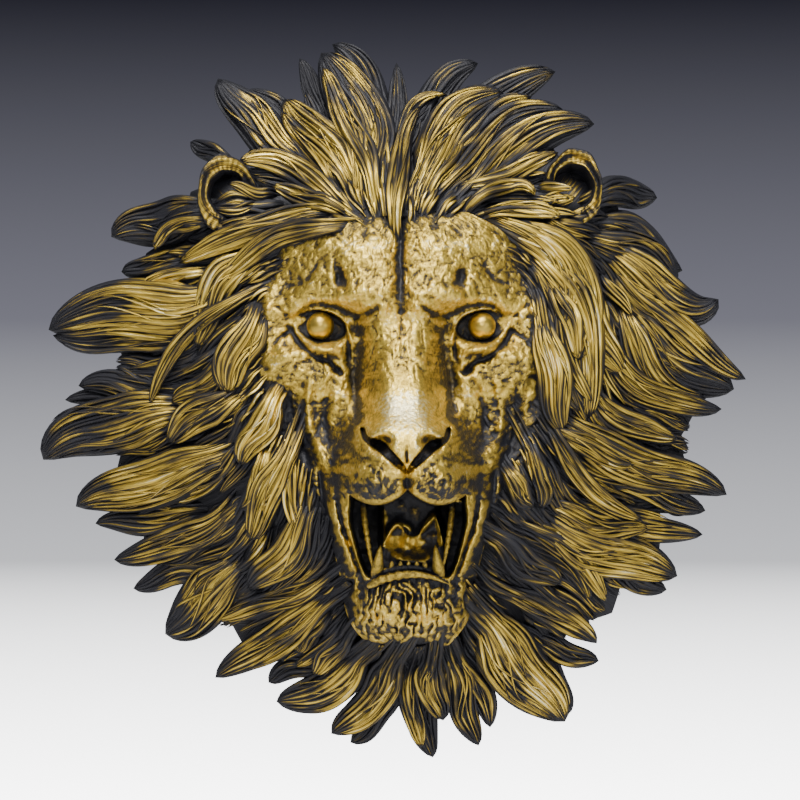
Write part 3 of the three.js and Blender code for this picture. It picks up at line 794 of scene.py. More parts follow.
def lined(depth, u, z, half, rise, points, taper=0.25):
    """Adds a rounded ridge or groove along a line, fading at both of its ends."""
    knots = np.array(points, float)
    reach = 3 * half
    near = ((u > knots[:, 0].min() - reach) & (u < knots[:, 0].max() + reach)
            & (z > knots[:, 1].min() - reach) & (z < knots[:, 1].max() + reach))
    far, at = to_line(u[near], z[near], points)
    fade = smooth(-0.02, taper, at) * smooth(1.02, 1 - taper, at)
    depth[near] += rise * np.exp(-((far / half) ** 2)) * (0.35 + 0.65 * fade)


def nostril(u, z):
    """Share inside a nostril: a comma from the wing down to the foot of the nose."""
    far, at = to_line(u, z, [(29, -18), (26.5, -24), (18, -28.5), (11, -35), (4, -42), (0.5, -46)])
    half = along([(0, 1.6), (0.2, 2.2), (0.42, 3.4), (0.7, 2.6), (1, 0.8)], at)
    return smooth(half + 0.6, half - 0.6, far)


def mouth(u, z):
    """Share inside the open mouth: under the lobes of the lip and between its sides."""
    side = np.abs(u)
    down = np.clip((MOUTH_TOP - z) / (MOUTH_TOP - MOUTH_FOOT), 0, 1)
    half = MOUTH_HALF_TOP * along([(0, 1.0), (0.2, 1.02), (0.4, 0.97), (0.6, 0.9),
                                   (0.8, 0.82), (0.95, 0.7), (1, 0.6)], down)
    lip = -58 - 11 * np.sin(np.pi * np.clip(side / 44, 0, 1)) ** 0.8
    foot = MOUTH_FOOT + 3 + 4 * np.cos(np.clip(u / 17, -np.pi / 2, np.pi / 2))
    return (smooth(half + 1, half - 1.5, side) * smooth(lip + 1, lip - 2, z)
            * smooth(foot - 1.5, foot + 1.5, z))


# Rims of the curled tongue inside the mouth: half breadth, rise, points (across, up).
TONGUE_LINES = [
    (2.4, 7.0, [(-16, -101), (-16, -92), (-8, -83), (1, -87), (-2, -97)]),
    (2.2, 7.0, [(5, -90), (12, -84), (19, -78), (23, -88), (22, -97)]),
    (2.6, 6.0, [(-13, -101), (-2, -107), (11, -107), (20, -100)]),
]


def mouth_floor(u, z):
    """Depth inside the mouth: side slots, the palate between them, and the curled tongue."""
    floor = MOUTH_FLOOR + 22 * smooth(22, 17, np.abs(u - 1)) + 1.6 * ripple(u, z, 5, 9)
    top = along([(-18, -96), (-8, -82), (2, -91), (6, -90), (19, -77), (25, -98)], u)
    tongue = along([(-122, 118), (-108, 121), (-98, 113), (-88, 108), (-76, 106)], z)
    floor = mix(floor, tongue + 1.2 * ripple(u, z, 3.5, 19),
                smooth(top + 1.5, top - 1.5, z) * smooth(23.5, 21, np.abs(u - 3)))
    for half, rise, points in TONGUE_LINES:
        lined(floor, u, z, half, rise, points)
    return floor


def skin_relief(x, z):
    """The tooled skin: facets, ripples and creases, warped so that no straight row shows."""
    warp_x, warp_z = x + 4 * ripple(x, z, 8, 3), z + 4 * ripple(x, z, 8, 13)
    a, b = 0.8 * warp_x + 0.6 * warp_z, 0.8 * warp_z - 0.6 * warp_x
    tool = 0.9 * chisel(a, b, 8.0, 11) + 0.5 * chisel(b, a, 3.7, 23)
    tool = tool + 0.6 * ripple(x, z, 4.5, 5) + 0.35 * ripple(x, z, 2.2, 15)
    wrinkle = (1.1 * np.abs(ripple(warp_x, 1.3 * warp_z, 6.5, 61))
               + 0.7 * np.abs(ripple(1.3 * warp_z, warp_x, 3.6, 63)))
    return 1.15 * tool - 1.3 * (1 - wrinkle) ** 2 + 0.9 * ripple(x, z, 13, 7)


def worn_smooth(x, z, side):
    """Share of the skin's relief that is left: less of it on the nose."""
    stray = 7 * ripple(x, z, 9, 91)
    return 1 - 0.75 * smooth(27, 12, side + stray) * smooth(-42, -26, z) * smooth(38, 2, z + stray)


def pad_relief(x, z, side):
    """Broken arcs round the whisker pads, and beads down the skin beside the mouth."""
    pad = np.exp(-((side - 24) / 21) ** 4 - ((z + 52) / 18) ** 4)
    swirl = np.hypot((side - 23) / 1.6, z + 57 - 0.2 * side) + 4.5 * ripple(x, z, 9, 33)
    broken = 0.6 + 0.6 * ripple(x, z, 8, 35)
    arcs = broken * 2.2 * (np.abs(np.sin(np.pi * swirl / 5.2)) ** 0.7 - 0.6)
    beads = smooth(30, 36, side) * smooth(62, 54, side) * smooth(-56, -62, z) * smooth(-128, -120, z)
    return (pad * (arcs + 1.2 * ripple(x, z, 4.0, 36))
            + beads * (2.8 * ripple(side, z, 5.5, 51) + 1.4 * ripple(side, z, 2.8, 52)))


def curls(x, z):
    """Matted curls: upright ridges whose course is warped by noise, knotted across by others."""
    course = x + 5.5 * ripple(x, z, 11, 41) + 2.6 * ripple(x, z, 5, 42)
    upright = np.abs(np.sin(np.pi * course / 5.4)) ** 0.6
    knot = 1 - 2.2 * np.abs(ripple(course, 0.8 * z, 6.5, 43))
    pit = smooth(0.25, 0.6, ripple(x, z, 5.5, 44))
    return 3.6 * (upright - 0.55) + 3.0 * np.clip(knot, 0, 1) - 2.5 * pit


def chin_relief(x, z, side):
    """Curls on the chin out to a ragged edge, and the drop beyond it."""
    ragged = 4 * ripple(x, z, 7, 71)
    muff = smooth(42, 36, side + ragged) * smooth(-169, -161, z + ragged)
    return smooth(-119, -124, z) * (muff * curls(x, z) - 14 * (1 - muff))


def fine_face_depth(x, z):
    """The face's ground form with its lines, pits, sockets, nostrils and tooling."""
    u = x - axis(z)
    side = np.abs(u)
    depth = face_depth(x, z)
    for half, rise, points in FACE_LINES:
        lined(depth, side, z, half, rise, points)
    for across, up, half_u, half_z, tilt, rise in FACE_PITS:
        depth += form_rise((across, up, half_u, half_z, tilt, rise, 2.5), side, z)
    socket = np.hypot((side - 55) / 17, (z - EYE_HEIGHT - 0.12 * (side - 55)) / 10.5)
    depth = mix(depth, np.minimum(depth, EYE_DEPTH - 5), smooth(1.08, 0.92, socket))
    depth += 0.7 * EDGE_SINK * at_edge(side, z) * smooth(-70, -50, z)
    depth += worn_smooth(x, z, side) * skin_relief(x, z) + pad_relief(x, z, side)
    depth -= 13 * nostril(side, z)
    depth -= 3.0 * np.exp(-(u / 0.9) ** 2) * smooth(-46, -38, z) * smooth(-28, -36, z)
    depth += chin_relief(x, z, side)
    return mix(depth, mouth_floor(u, z), mouth(u, z))


def build_face():
    """The face: a grid in rows across its plan, walled round and closed behind."""
    t = np.linspace(-1, 1, FACE_COLUMNS + 1)
    shares = 0.66 * t + 0.34 * t ** 3
    z = np.linspace(FACE_FOOT, FACE_TOP, FACE_ROWS + 1)[:, None]
    x = axis(z) + shares[None, :] * face_half_width(z)
    z = np.broadcast_to(z, x.shape)
    depth = fine_face_depth(x, z.copy())
    front = np.stack([x, -depth, z], -1)
    surface = Surface()
    index = np.arange(x.size).reshape(x.shape)
    quads = np.stack([index[:-1, :-1], index[:-1, 1:], index[1:, 1:], index[1:, :-1]], -1)
    edge = np.concatenate([index[0, :-1], index[:-1, -1], index[-1, :0:-1], index[:0:-1, 0]])
    wall = front.reshape(-1, 3)[edge].copy()
    wall[:, 1] = -BED_DEPTH
    back = x.size + np.arange(len(edge))
    following = np.roll(np.arange(len(edge)), -1)
    skirt = np.stack([edge, back, back[following], edge[following]], -1)
    centre = x.size + len(edge)
    cap = np.stack([back, np.full(len(edge), centre), back[following]], -1)
    points = np.concatenate([front.reshape(-1, 3), wall, [[0, -BED_DEPTH, -20]]])
    surface.add(points, [quads.reshape(-1, 4), skirt, cap], points[:, [0, 2]])
    return place(surface, "face", finish("gilded_skin", rubbed=0.5))


def build_eyes():
    """Two smooth eyeballs set deep in their sockets."""
    surface = Surface()
    for side in (-1, 1):
        middle = float(axis(EYE_HEIGHT)) + side * EYE_SPREAD
        lean = np.linspace(0, np.pi, 26)[1:-1][:, None]
        turn = (2 * np.pi * np.arange(40) / 40)[None, :]
        ring = np.stack([middle + EYE_RADIUS * np.sin(lean) * np.cos(turn),
                         -EYE_DEPTH + EYE_RADIUS * np.sin(lean) * np.sin(turn),
                         EYE_HEIGHT + EYE_RADIUS * np.cos(lean) * np.ones_like(turn)], -1)
        surface.tube(ring, np.array([middle, -EYE_DEPTH, EYE_HEIGHT + EYE_RADIUS]),
                     np.array([middle, -EYE_DEPTH, EYE_HEIGHT - EYE_RADIUS]), ring[..., [0, 2]])
    return place(surface, "eyes", finish("polished_eye", roughness_shift=-0.08, rubbed=0.12))


def add_cord(surface, points, radius, sides=10, rings=40, flat=0.9, tip=0.0, beads=0.0):
    """A rounded rib through a few (x, depth, z) points, tapering to a share at its tip.

    Beads swell and pinch it along its length, by 15 parts in a hundred.
    """
    knots = np.array(points, float)
    share = np.linspace(0, 1, len(knots))
    t = np.linspace(0, 1, rings + 1)
    spine = np.stack([along(list(zip(share, knots[:, k])), t) for k in range(3)], -1)
    spine[:, 1] *= -1
    half = radius * mix(1.0, tip, t ** 3) * np.sqrt(np.clip(1.002 - (2 * t - 1) ** 8, 0, 1))
    half *= 1 + 0.15 * np.sin(2 * np.pi * beads * t + radius) * np.sin(5 * t + radius)
    surface.tube(*swept(spine, half, half * flat, sides, radius * 50))


def build_mouth():
    """Gums, fangs, small teeth and the lower lip, set in the open mouth."""
    surface = Surface()
    middle = float(axis(MOUTH_TOP))
    gum = [(31, 112, -66), (29, 116, -84), (26, 120, -102), (23, 124, -116)]
    lower_lip = [(-28, 130, -125), (-15, 135, -119), (1, 137, -116), (16, 135, -118), (30, 130, -124)]
    lower_gum = [(-24, 126, -117), (-10, 129, -113), (6, 129, -112), (24, 126, -116)]
    for side, points, radius in ((-1, gum, 2.2), (1, gum, 2.2), (1, lower_lip, 3.2),
                                 (1, lower_gum, 2.4)):
        add_cord(surface, [(middle + side * x, d, z) for x, d, z in points], radius, 12, 60, beads=11)
    fang = [(20.5, 122, -120), (20.5, 129, -112), (19.5, 131, -104), (18.5, 130, -96)]
    for side in (-1, 1):
        add_cord(surface, [(middle + side * x, d, z) for x, d, z in fang], 4.4, 14, 24, tip=0.05)
    for x in (-11, -5, 0.5, 6, 11.5):
        add_cord(surface, [(middle + x, 128, -113), (middle + x, 131, -107)], 2.4, 10, 10)
    return place(surface, "mouth_parts", finish("gilded_skin", rubbed=0.5))


# Rings of an ear from its root over the rim into the hollow: size, and how far behind the front.
EAR_RINGS = [
    (0.8, EAR_ROOT), (0.93, 22), (1.0, 9), (1.03, 4), (1.03, 1), (0.99, -1.2),
    (0.94, -1.6), (0.88, -0.6), (0.83, 1.5), (0.79, 2.5), (0.75, 1.4), (0.7, 3.2),
    (0.66, 8), (0.62, 14), (0.55, 20), (0.42, EAR_HOLLOW), (0.2, EAR_HOLLOW + 1),
]
EAR_TUFTS = 7


def ear_ring(x, z, side, turn, size, behind):
    """One ring: a wavy ellipse that leans forward on the outer side of the head."""
    outer = side * np.cos(turn)
    low = smooth(0.3, 0.9, -np.sin(turn)) * smooth(-0.4, 0.3, outer)
    wave = 1 + 0.04 * np.sin(3 * turn + 9 * size + side) + 0.02 * np.sin(8 * turn)
    if 0.6 < size < 0.99 and side < 0:
        wave = wave * (1 - 0.35 * (1 - size))
    ribs = 1.2 * np.sin(30 * turn + 5 * size) * (0.35 + 0.65 * low) * smooth(0.68, 0.76, size)
    fold = 9 * np.exp(-((size - 0.62) / 0.09) ** 2) * smooth(-0.2, 0.5, np.sin(turn))
    depth = (EAR_DEPTH - behind + EAR_LEAN * size * (outer + 0.4 * np.sin(turn))
             + ribs + fold * (side > 0) + 5 * low * np.exp(-((size - 0.72) / 0.1) ** 2))
    radius = size * wave
    return np.stack([x + EAR_HALF_WIDTH * radius * np.cos(turn), -depth,
                     z + EAR_HALF_HEIGHT * radius * np.sin(turn)], -1)


def add_tufts(surface, x, z, side, random):
    """Fur that fans down from the top of an ear's hollow to its rim."""
    for k in range(EAR_TUFTS):
        heading = math.radians(-35 - 18 * k)
        far = random.uniform(0.5, 0.7)
        tip_x = x - side * far * EAR_HALF_WIDTH * math.cos(heading)
        tip_z = z + far * EAR_HALF_HEIGHT * math.sin(heading)
        points = [(x - side * 6, EAR_DEPTH - EAR_HOLLOW - 2, z + 8),
                  (mix(x, tip_x, 0.5), EAR_DEPTH - EAR_HOLLOW + 5, mix(z, tip_z, 0.5)),
                  (tip_x, EAR_DEPTH - 10, tip_z)]
        add_cord(surface, points, 1.2, 7, 18, tip=0.2)


def build_ears():
    """Two cupped ears: a thick ribbed rim, an inner fold, and fur down in the hollow."""
    surface = Surface()
    random = np.random.default_rng(8)
    turn = -2 * np.pi * np.arange(EAR_SPOKES) / EAR_SPOKES
    for side in (-1, 1):
        x, z = float(axis(EAR_HEIGHT)) + side * EAR_SPREAD, EAR_HEIGHT + 2 * side
        rings = np.array([ear_ring(x, z, side, turn, size, behind) for size, behind in EAR_RINGS])
        strands = np.stack([np.hypot(rings[..., 0] - x, rings[..., 2] - z) * 1.5,
                            np.broadcast_to(turn * 24, rings.shape[:2])], -1)
        surface.tube(rings, np.array([x, EAR_ROOT - EAR_DEPTH, z]),
                     np.array([x, EAR_HOLLOW - EAR_DEPTH, z]), strands)
        add_tufts(surface, x, z, side, random)
    return place(surface, "ears", finish("gilded_hair", True))


# the mane


def build_mane_body():
    """The body under the locks: a furrowed dome with a pointed rim and a flat back."""
    turn = -2 * np.pi * np.arange(BODY_SPOKES) / BODY_SPOKES
    share = np.sqrt(np.linspace(1, 0.02, BODY_RINGS))[:, None]
    saw = np.abs((np.arange(BODY_SPOKES) * RIM_POINTS / BODY_SPOKES) % 1 * 2 - 1)[None, :]
    radius = REACH * share + saw * RIM_POINT_LENGTH * smooth(0.86, 1, share)
    x, z = radius * np.cos(turn), radius * np.sin(turn)
    swirl = turn * 60 + 2.5 * ripple(x, z, 30, 4)
    depth = mane_depth(x, z) - 1 + 1.4 * np.abs(np.sin(swirl)) * smooth(0.97, 0.85, share)
    depth = mix(depth, np.minimum(BED_DEPTH + 4, depth), smooth(6, 14, inside_face(x, z)))
    dome = np.stack([x, -np.maximum(depth, 2), z], -1)
    rim = dome[:1].copy()
    rim *= (BACK_SHARE, 0, BACK_SHARE)
    shell = np.concatenate([rim, dome])
    strands = np.stack([np.broadcast_to(turn * 150, shell.shape[:2]),
                        np.hypot(shell[..., 0], shell[..., 2])], -1)
    surface = Surface()
    surface.tube(shell, np.array([0, 0, 0]), np.array([0, -BED_DEPTH - 4, 0]), strands)
    return place(surface, "mane_body", finish("gilded_hair", True))


def build_locks(name, rows, seed):
    """A group of named locks, each with its strands."""
    surface = Surface()
    random = np.random.default_rng(seed)
    for row in rows:
        add_lock(surface, row, random)
    return place(surface, name, finish("gilded_hair", True))


# Groups of named locks: piece, rows, seed.
MANE_PARTS = [
    ("mane_crown", CROWN, 5),
    ("mane_right", RIGHT, 6),
    ("mane_left", LEFT, 7),
    ("mane_foot", FOOT, 9),
]


def build_mane():
    """All the named locks, group by group."""
    for part in MANE_PARTS:
        build_locks(*part)


def flow(rows):
    """Places and directions sampled along the named locks, to be blended between them."""
    t = np.linspace(0.08, 0.95, 9)
    places, headings = [], []
    for row in rows:
        x, z = bend(row, t)
        heading = np.stack([np.gradient(x), np.gradient(z)], -1)
        places.append(np.stack([x, z], -1))
        headings.append(heading / np.linalg.norm(heading, axis=1, keepdims=True))
    return np.concatenate(places), np.concatenate(headings)


def heading_at(points, places, headings, spread_mm):
    """The mean heading near each point: a bell-weighted sum, with a little straight outwards."""
    gaps = ((points[:, None, :] - places[None, :, :]) ** 2).sum(-1)
    outwards = points / np.linalg.norm(points, axis=1, keepdims=True)
    mean = np.exp(-gaps / (2 * spread_mm ** 2)) @ headings + 0.15 * outwards
    return mean / np.linalg.norm(mean, axis=1, keepdims=True)


def followed(points, length, steps, spread_mm):
    """Paths from the points, in short steps along the mean heading of the named locks."""
    places, headings = flow(CROWN + RIGHT + LEFT + FOOT)
    paths = [points]
    for _ in range(steps):
        heading = heading_at(points, places, headings, spread_mm)
        points = points + heading * (length / steps)[:, None]
        paths.append(points)
    return np.stack(paths, 1)


def add_tress(surface, path, breadth, layer, random):
    """A slim bundle of three or four strands laid along a path of (x, z) points."""
    s = np.linspace(0, 1, len(path))
    stand = layer - 5 * (1 - smooth(0, 0.3, s)) + 4 * s * s
    spine = laid(path[:, 0], path[:, 1], stand)
    out, across = frames(spine)
    half = 0.5 * breadth * (0.3 + 0.7 * smooth(0, 0.35, s)) * np.maximum(0.02, 1 - s ** 2.6) ** 0.7
    wave = (0.2 * breadth, random.uniform(0.6, 1.1), any_phase(random))
    count = 4 if breadth > 10 else 3
    for k in range(count):
        at = (k + 0.5) / count * 2 - 1 + random.uniform(-0.15, 0.15)
        own = 2 * np.pi * random.uniform(0.7, 1.4) * s + any_phase(random)
        aside = at * half * 0.85 + sway(wave, s) + 0.06 * breadth * np.sin(own)
        rise = half * 0.35 * (1 - at * at) + 0.7 * np.sin(0.8 * own + 1.5) * smooth(1, 0.8, s)
        width = half / count * random.uniform(1.0, 1.5)
        course = out_of_mouth(spine + across * aside[:, None] + out * rise[:, None])
        surface.tube(*swept(course, width, width * 1.2 + 0.2, STRAND_SIDES, any_streak(random)))


# Layers of tresses: piece, seed, spacing of the roots, height over the ground, breadth, length.
TRESS_LAYERS = [
    ("mane_under_low", 77, 24.0, 0.0, 16.0, 58.0),
    ("mane_under_middle", 78, 18.5, 4.0, 12.0, 64.0),
    ("mane_under_high", 79, 17.5, 8.0, 10.0, 68.0),
]


def build_tresses(name, seed, pitch, layer, breadth, reach):
    """Slim tresses between the named locks, each following the hair around it.

    Roots lie on a jittered lattice over the mane; a path takes short steps along the
    mean heading of the named locks near it, and shorter ones near the rim.
    """
    surface = Surface()
    random = np.random.default_rng(seed)
    lattice = np.arange(-REACH, REACH, pitch)
    x, z = [g.ravel() + random.uniform(-0.5, 0.5, g.size) * pitch
            for g in np.meshgrid(lattice, lattice)]
    radius = np.hypot(x, z)
    on_mane = (inside_face(x, z) < 7) & (radius < REACH * 0.9)
    points = np.stack([x, z], -1)[on_mane]
    length = reach * random.uniform(0.75, 1.25, len(points))
    length = np.minimum(length, np.maximum(REACH + 8 - radius[on_mane], 26))
    for path in followed(points, length, 17, 14.0):
        add_tress(surface, path, breadth * random.uniform(0.8, 1.2), layer, random)
    return place(surface, name, finish("gilded_hair", True))


def build_under_locks():
    """All the layers of slim tresses."""
    for layer in TRESS_LAYERS:
        build_tresses(*layer)


def hairline_roots(random):
    """Places in three rows inside the edge of the face, shaken a little."""
    roots = []
    for inset in (1.5, 6.0, 11.0):
        z = np.arange(FACE_FOOT + 6, FACE_TOP, 3.4) + random.uniform(-1, 1)
        for side in (-1, 1):
            x = axis(z) + side * (face_half_width(z) - inset * mix(0.15, 1.0, smooth(-75, -45, z)))
            roots.append(np.stack([x, z], -1))
        x = np.arange(-40, 40, 3.4)
        roots.append(np.stack([x, np.full(len(x), FACE_TOP - inset)], -1))
    points = np.concatenate(roots)
    return points + random.uniform(-2.2, 2.2, points.shape) * smooth(-80, -50, points[:, 1:])


def build_hairline():
    """Fine strands that start on the skin all round the face and run out into the mane."""
    surface = Surface()
    random = np.random.default_rng(31)
    points = hairline_roots(random)
    length = random.uniform(18, 34, len(points))
    steps = 11
    s = np.linspace(0, 1, steps + 1)
    for path in followed(points, length, steps, 9.0):
        own = 2 * np.pi * random.uniform(0.5, 1.2) * s + any_phase(random)
        stand = mix(0.6, random.uniform(4.0, 8.0), smooth(0, 0.8, s)) + 0.8 * np.sin(own)
        spine = laid(path[:, 0], path[:, 1], stand)
        _, across = frames(spine)
        spine = out_of_mouth(spine + across * (1.2 * np.sin(own) * s)[:, None])
        width = random.uniform(1.0, 2.1) * (0.4 + 0.6 * smooth(0, 0.4, s)) * (1.02 - s ** 3) ** 0.6
        surface.tube(*swept(spine, width, width * 1.1, STRAND_SIDES, any_streak(random)))
    return place(surface, "hairline", finish("gilded_hair", True))


# the rubbed gilding, with painted light and shade


def spread(grid, size):
    """A Gaussian blur of a square grid, worked out on its spectrum."""
    count = grid.shape[0]
    wave = np.fft.fftfreq(count)
    fall = np.exp(-2 * (np.pi * size * wave) ** 2)
    return np.real(np.fft.ifft2(np.fft.fft2(grid) * fall[:, None] * fall[None, :]))


def looked_up(grid, column, row):
    """The grid's value between its cells, blended across and then up."""
    i, j = np.floor(column).astype(int), np.floor(row).astype(int)
    u, v = column - i, row - j
    return mix(mix(grid[j, i], grid[j, i + 1], u), mix(grid[j + 1, i], grid[j + 1, i + 1], u), v)


# Painted shade: dark patches over hollows between the locks, where deep shade falls: middle, half sizes,
# tilt, gold, flatness.
SHADE_POOLS = [
    (-54, -91, 14, 22, 15, -0.5, 2),
    (76, -97, 18, 36, -15, -0.35, 2),
    (-38, -163, 13, 18, 0, -0.4, 2),
    (48, -160, 12, 16, 0, -0.3, 2),
    (-108, -118, 8, 22, 20, -0.4, 2),
    (94, -12, 8, 24, 10, -0.4, 2),
    (74, 112, 7, 8, 0, -0.3, 2),
    (87, 88, 8, 17, 20, -0.3, 2),
    (-86, 62, 6, 30, 10, -0.3, 2),
]
# Places of the face, on both sides, made lighter or darker than the rest: painted light on the sides of
# the muzzle and the edges of the bridge, painted shade on the lip pads and beside the mouth; the chin a
# little lighter, the outer cheeks darker.
FACE_PAINTED_SHADING = [
    (39, -28, 17, 36, 0, 0.25, 2.4),
    (0, -155, 50, 28, 0, 0.08, 4),
    (27, 26, 9, 28, 0, 0.2, 2.4),
    (72, 0, 28, 42, 0, -0.13, 2),
    (27, -58, 27, 20, 0, -0.28, 2),
    (32, -108, 14, 42, 0, -0.17, 3),
]
# Painted highlight on the nose, standing for the bright reflection there: across, up, half breadth, half
# height, tilt, gold, flatness.
NOSE_PAINTED_HIGHLIGHT = (0, -4, 16, 15, 0, 0.52, 2)
EYE_SHARE = 0.68
# How gold grows with the height over each blur: its weight, a full height, and its limits.
SKIN_GROWTH = [(0.14, 0.5, -2, 2), (0.07, 3, -1, 1), (0.04, 9, -1, 1)]
HAIR_GROWTH = [(0.17, 0.9, -2, 2), (0.15, 3, -2, 1), (0.07, 8, -2, 0.5)]
PATCH_SHIFT = 280.0
MAP_CELL = 1.0
MAP_CELLS = 560
BLURS = (2.0, 6.0, 18.0)


def on_map(piece):
    """A piece with its points' depths, normals and places on the map of the front."""
    points = np.empty(len(piece.data.vertices) * 3, np.float32)
    piece.data.vertices.foreach_get("co", points)
    normals = np.empty(len(points), np.float32)
    piece.data.vertex_normals.foreach_get("vector", normals)
    points = points.reshape(-1, 3) / MM
    column, row = [np.clip(points[:, k] / MAP_CELL + MAP_CELLS / 2, 2, MAP_CELLS - 3) for k in (0, 2)]
    return piece, -points[:, 1], normals.reshape(-1, 3), column, row


def front_blurs(held):
    """The map of the foremost depths, blurred over each size without its empty cells."""
    front = np.full((MAP_CELLS, MAP_CELLS), -1.0)
    for _, depth, _, column, row in held:
        np.maximum.at(front, (np.round(row).astype(int), np.round(column).astype(int)), depth)
    for _ in range(3):
        around = np.max([np.roll(front, s, a) for a in (0, 1) for s in (-1, 1)], axis=0)
        front = np.where(front < 0, around, front)
    known = (front >= 0).astype(float)
    return [spread(front * known, size / MAP_CELL) / np.maximum(spread(known, size / MAP_CELL), 0.02)
            for size in BLURS]


def grown(over, growth):
    """The weighted heights over the blurs, each as a share of a full one and within its limits."""
    return sum(weight * np.clip(height / full, least, most)
               for height, (weight, full, least, most) in zip(over, growth))


def skin_share(over, facing, x, z, name):
    """Gilt share of the face and mouth: mostly gold, with the patina in lines and pits."""
    # The facing term is partly painted light from the front, and the last term is painted light from
    # above, lighter towards the top of the face.
    share = (0.5 + grown(over, SKIN_GROWTH) - 0.2 * np.clip((-over[0] - 3) / 6, 0, 1)
             + 0.1 * (facing - 0.5) + 0.12 * smooth(-60, 10, z))
    # Painted shade: gums and teeth in the open mouth are darkened.
    if name == "mouth_parts":
        return share - 0.3
    side = np.abs(x - axis(z))
    # Painted highlight on the nose, and painted light and shade on the listed places of the face.
    nose = form_rise(NOSE_PAINTED_HIGHLIGHT, side, z)
    share += nose + sum(form_rise(form, side, z) for form in FACE_PAINTED_SHADING)
    return np.minimum(share, 0.88 + 0.3 * nose)


def hair_share(over, facing, x, z, name):
    """Gilt share of the hair and ears: gold on the strands, more of it on what faces forward."""
    # The facing term is partly painted light from the front; the shade pools are painted shade between
    # the locks.
    return (0.11 + grown(over, HAIR_GROWTH) - 0.5 * np.clip((-over[0] - 1.5) / 5, 0, 1)
            + 0.7 * (facing - 0.8) + sum(form_rise(shade_pool, x, z) for shade_pool in SHADE_POOLS)
            + 0.17 * ripple(x + PATCH_SHIFT, z + PATCH_SHIFT, 38, 81)
            + 0.09 * smooth(-140, -200, z) + (0.2 if name == "hairline" else 0.0))


def build_gilding(pieces):
    """Stores each point's gilt share: gold where it stands over its surroundings.

    The front of the whole mask is laid out as a map of depths. A point's share grows
    with its height over the blurred map at three sizes, and falls where it is hidden.
    """
    held = [on_map(piece) for piece in pieces]
    blurs = front_blurs(held)
    for piece, depth, normals, column, row in held:
        over = [depth - looked_up(blur, column, row) for blur in blurs]
        x, z = (column - MAP_CELLS / 2) * MAP_CELL, (row - MAP_CELLS / 2) * MAP_CELL
        rule = skin_share if piece.name in ("face", "mouth_parts") else hair_share
        share = rule(over, np.clip(-normals[:, 1], 0, 1), x, z, piece.name)
        if piece.name == "eyes":
            share = np.full_like(share, EYE_SHARE)
        layer = piece.data.attributes.new("gilt", "FLOAT", "POINT")
        layer.data.foreach_set("value", np.clip(share, 0, 1.2).astype(np.float32))


# the stage


def plain_material(name, colour, roughness):
    """A matt material of one colour."""
    paint = Paint(bpy.data.materials.new(name))
    shader = paint.node("ShaderNodeBsdfPrincipled", {},
                        {"Base Color": (*colour, 1.0), "Roughness": roughness})
    paint.node("ShaderNodeOutputMaterial", {}, {0: shader})
    return paint.owner


def add_softbox(name, place_at, size, power, colour):
    """A square area light that faces the middle of the mask."""
    light = bpy.data.lights.new(name, "AREA")
    light.shape = "SQUARE"
    light.size = size
    light.energy = power
    light.color = colour
    lamp = bpy.data.objects.new(name, light)
    bpy.context.scene.collection.objects.link(lamp)
    x, y, z = place_at
    lamp.location = place_at
    flat = math.hypot(x, y)
    lamp.rotation_euler = (math.atan2(flat, z), 0.0, math.atan2(x, -y))


# Soft lights: name, place, size, power and colour.
SOFTBOXES = [
    ("key_light", (-0.4, -1.9, 2.0), 0.9, 46, (1.0, 0.98, 0.95)),
    ("fill_light", (1.6, -2.0, 0.3), 1.0, 9, (0.95, 0.97, 1.0)),
    ("front_light", (0.0, -2.9, 0.75), 0.5, 21, (1.0, 0.99, 0.96)),
    ("top_light", (0.05, -1.15, 2.2), 1.1, 64, (1.0, 0.99, 0.97)),
]
# The backdrop from the foot of the picture to its top, and the share of a sight line's rise.
BACKDROP = [
    (0.0, (7.0, 7.0, 7.0)),
    (0.3, (0.75, 0.76, 0.8)),
    (0.6, (0.19, 0.19, 0.23)),
    (1.0, (0.022, 0.022, 0.032)),
]
BACKDROP_RISE = 0.095


def build_backdrop():
    """A graded backdrop that the camera sees, and an even dim sky that lights the mask."""
    sky = Paint(bpy.data.worlds.new("studio"))
    bpy.context.scene.world = sky.owner
    height = sky.node("ShaderNodeSeparateXYZ", {}, {0: sky.node("ShaderNodeTexCoord")}, 2)
    climb = sky.node("ShaderNodeMapRange", {}, {0: height, 1: -BACKDROP_RISE, 2: BACKDROP_RISE})
    graded = sky.node("ShaderNodeValToRGB", {"stops": BACKDROP}, {0: climb})
    seen = sky.node("ShaderNodeBackground", {}, {0: graded})
    lit = sky.node("ShaderNodeBackground", {}, {0: (0.62, 0.64, 0.7, 1.0), 1: 0.3})
    by_camera = sky.node("ShaderNodeLightPath")
    blend = sky.node("ShaderNodeMixShader", {}, {0: by_camera, 1: lit, 2: seen})
    sky.node("ShaderNodeOutputWorld", {}, {0: blend})


def build_floor(drop):
    """A pale floor that ends behind the mask."""
    reach, behind = 4.0, 1.3
    corners = [(x, y, drop) for x, y in
               ((-reach, -reach), (reach, -reach), (reach, behind), (-reach, behind))]
    mesh = bpy.data.meshes.new("floor")
    mesh.from_pydata(corners, [], [(0, 1, 2, 3)])
    floor = bpy.data.objects.new("floor", mesh)
    bpy.context.scene.collection.objects.link(floor)
    mesh.materials.append(plain_material("pale_floor", (0.9, 0.9, 0.91), 0.7))


def build_camera(look):
    """The camera, straight in front of the middle of the mask."""
    camera = bpy.data.cameras.new("camera")
    camera.sensor_width = 36.0
    camera.lens = 36.0 * look.camera_distance / look.frame_width
    camera.clip_end = 50.0
    stand = bpy.data.objects.new("camera", camera)
    bpy.context.scene.collection.objects.link(stand)
    stand.location = (-0.0014, -look.camera_distance, 0.0021)
    stand.rotation_euler = (math.pi / 2, 0.0, 0.0)
    bpy.context.scene.camera = stand


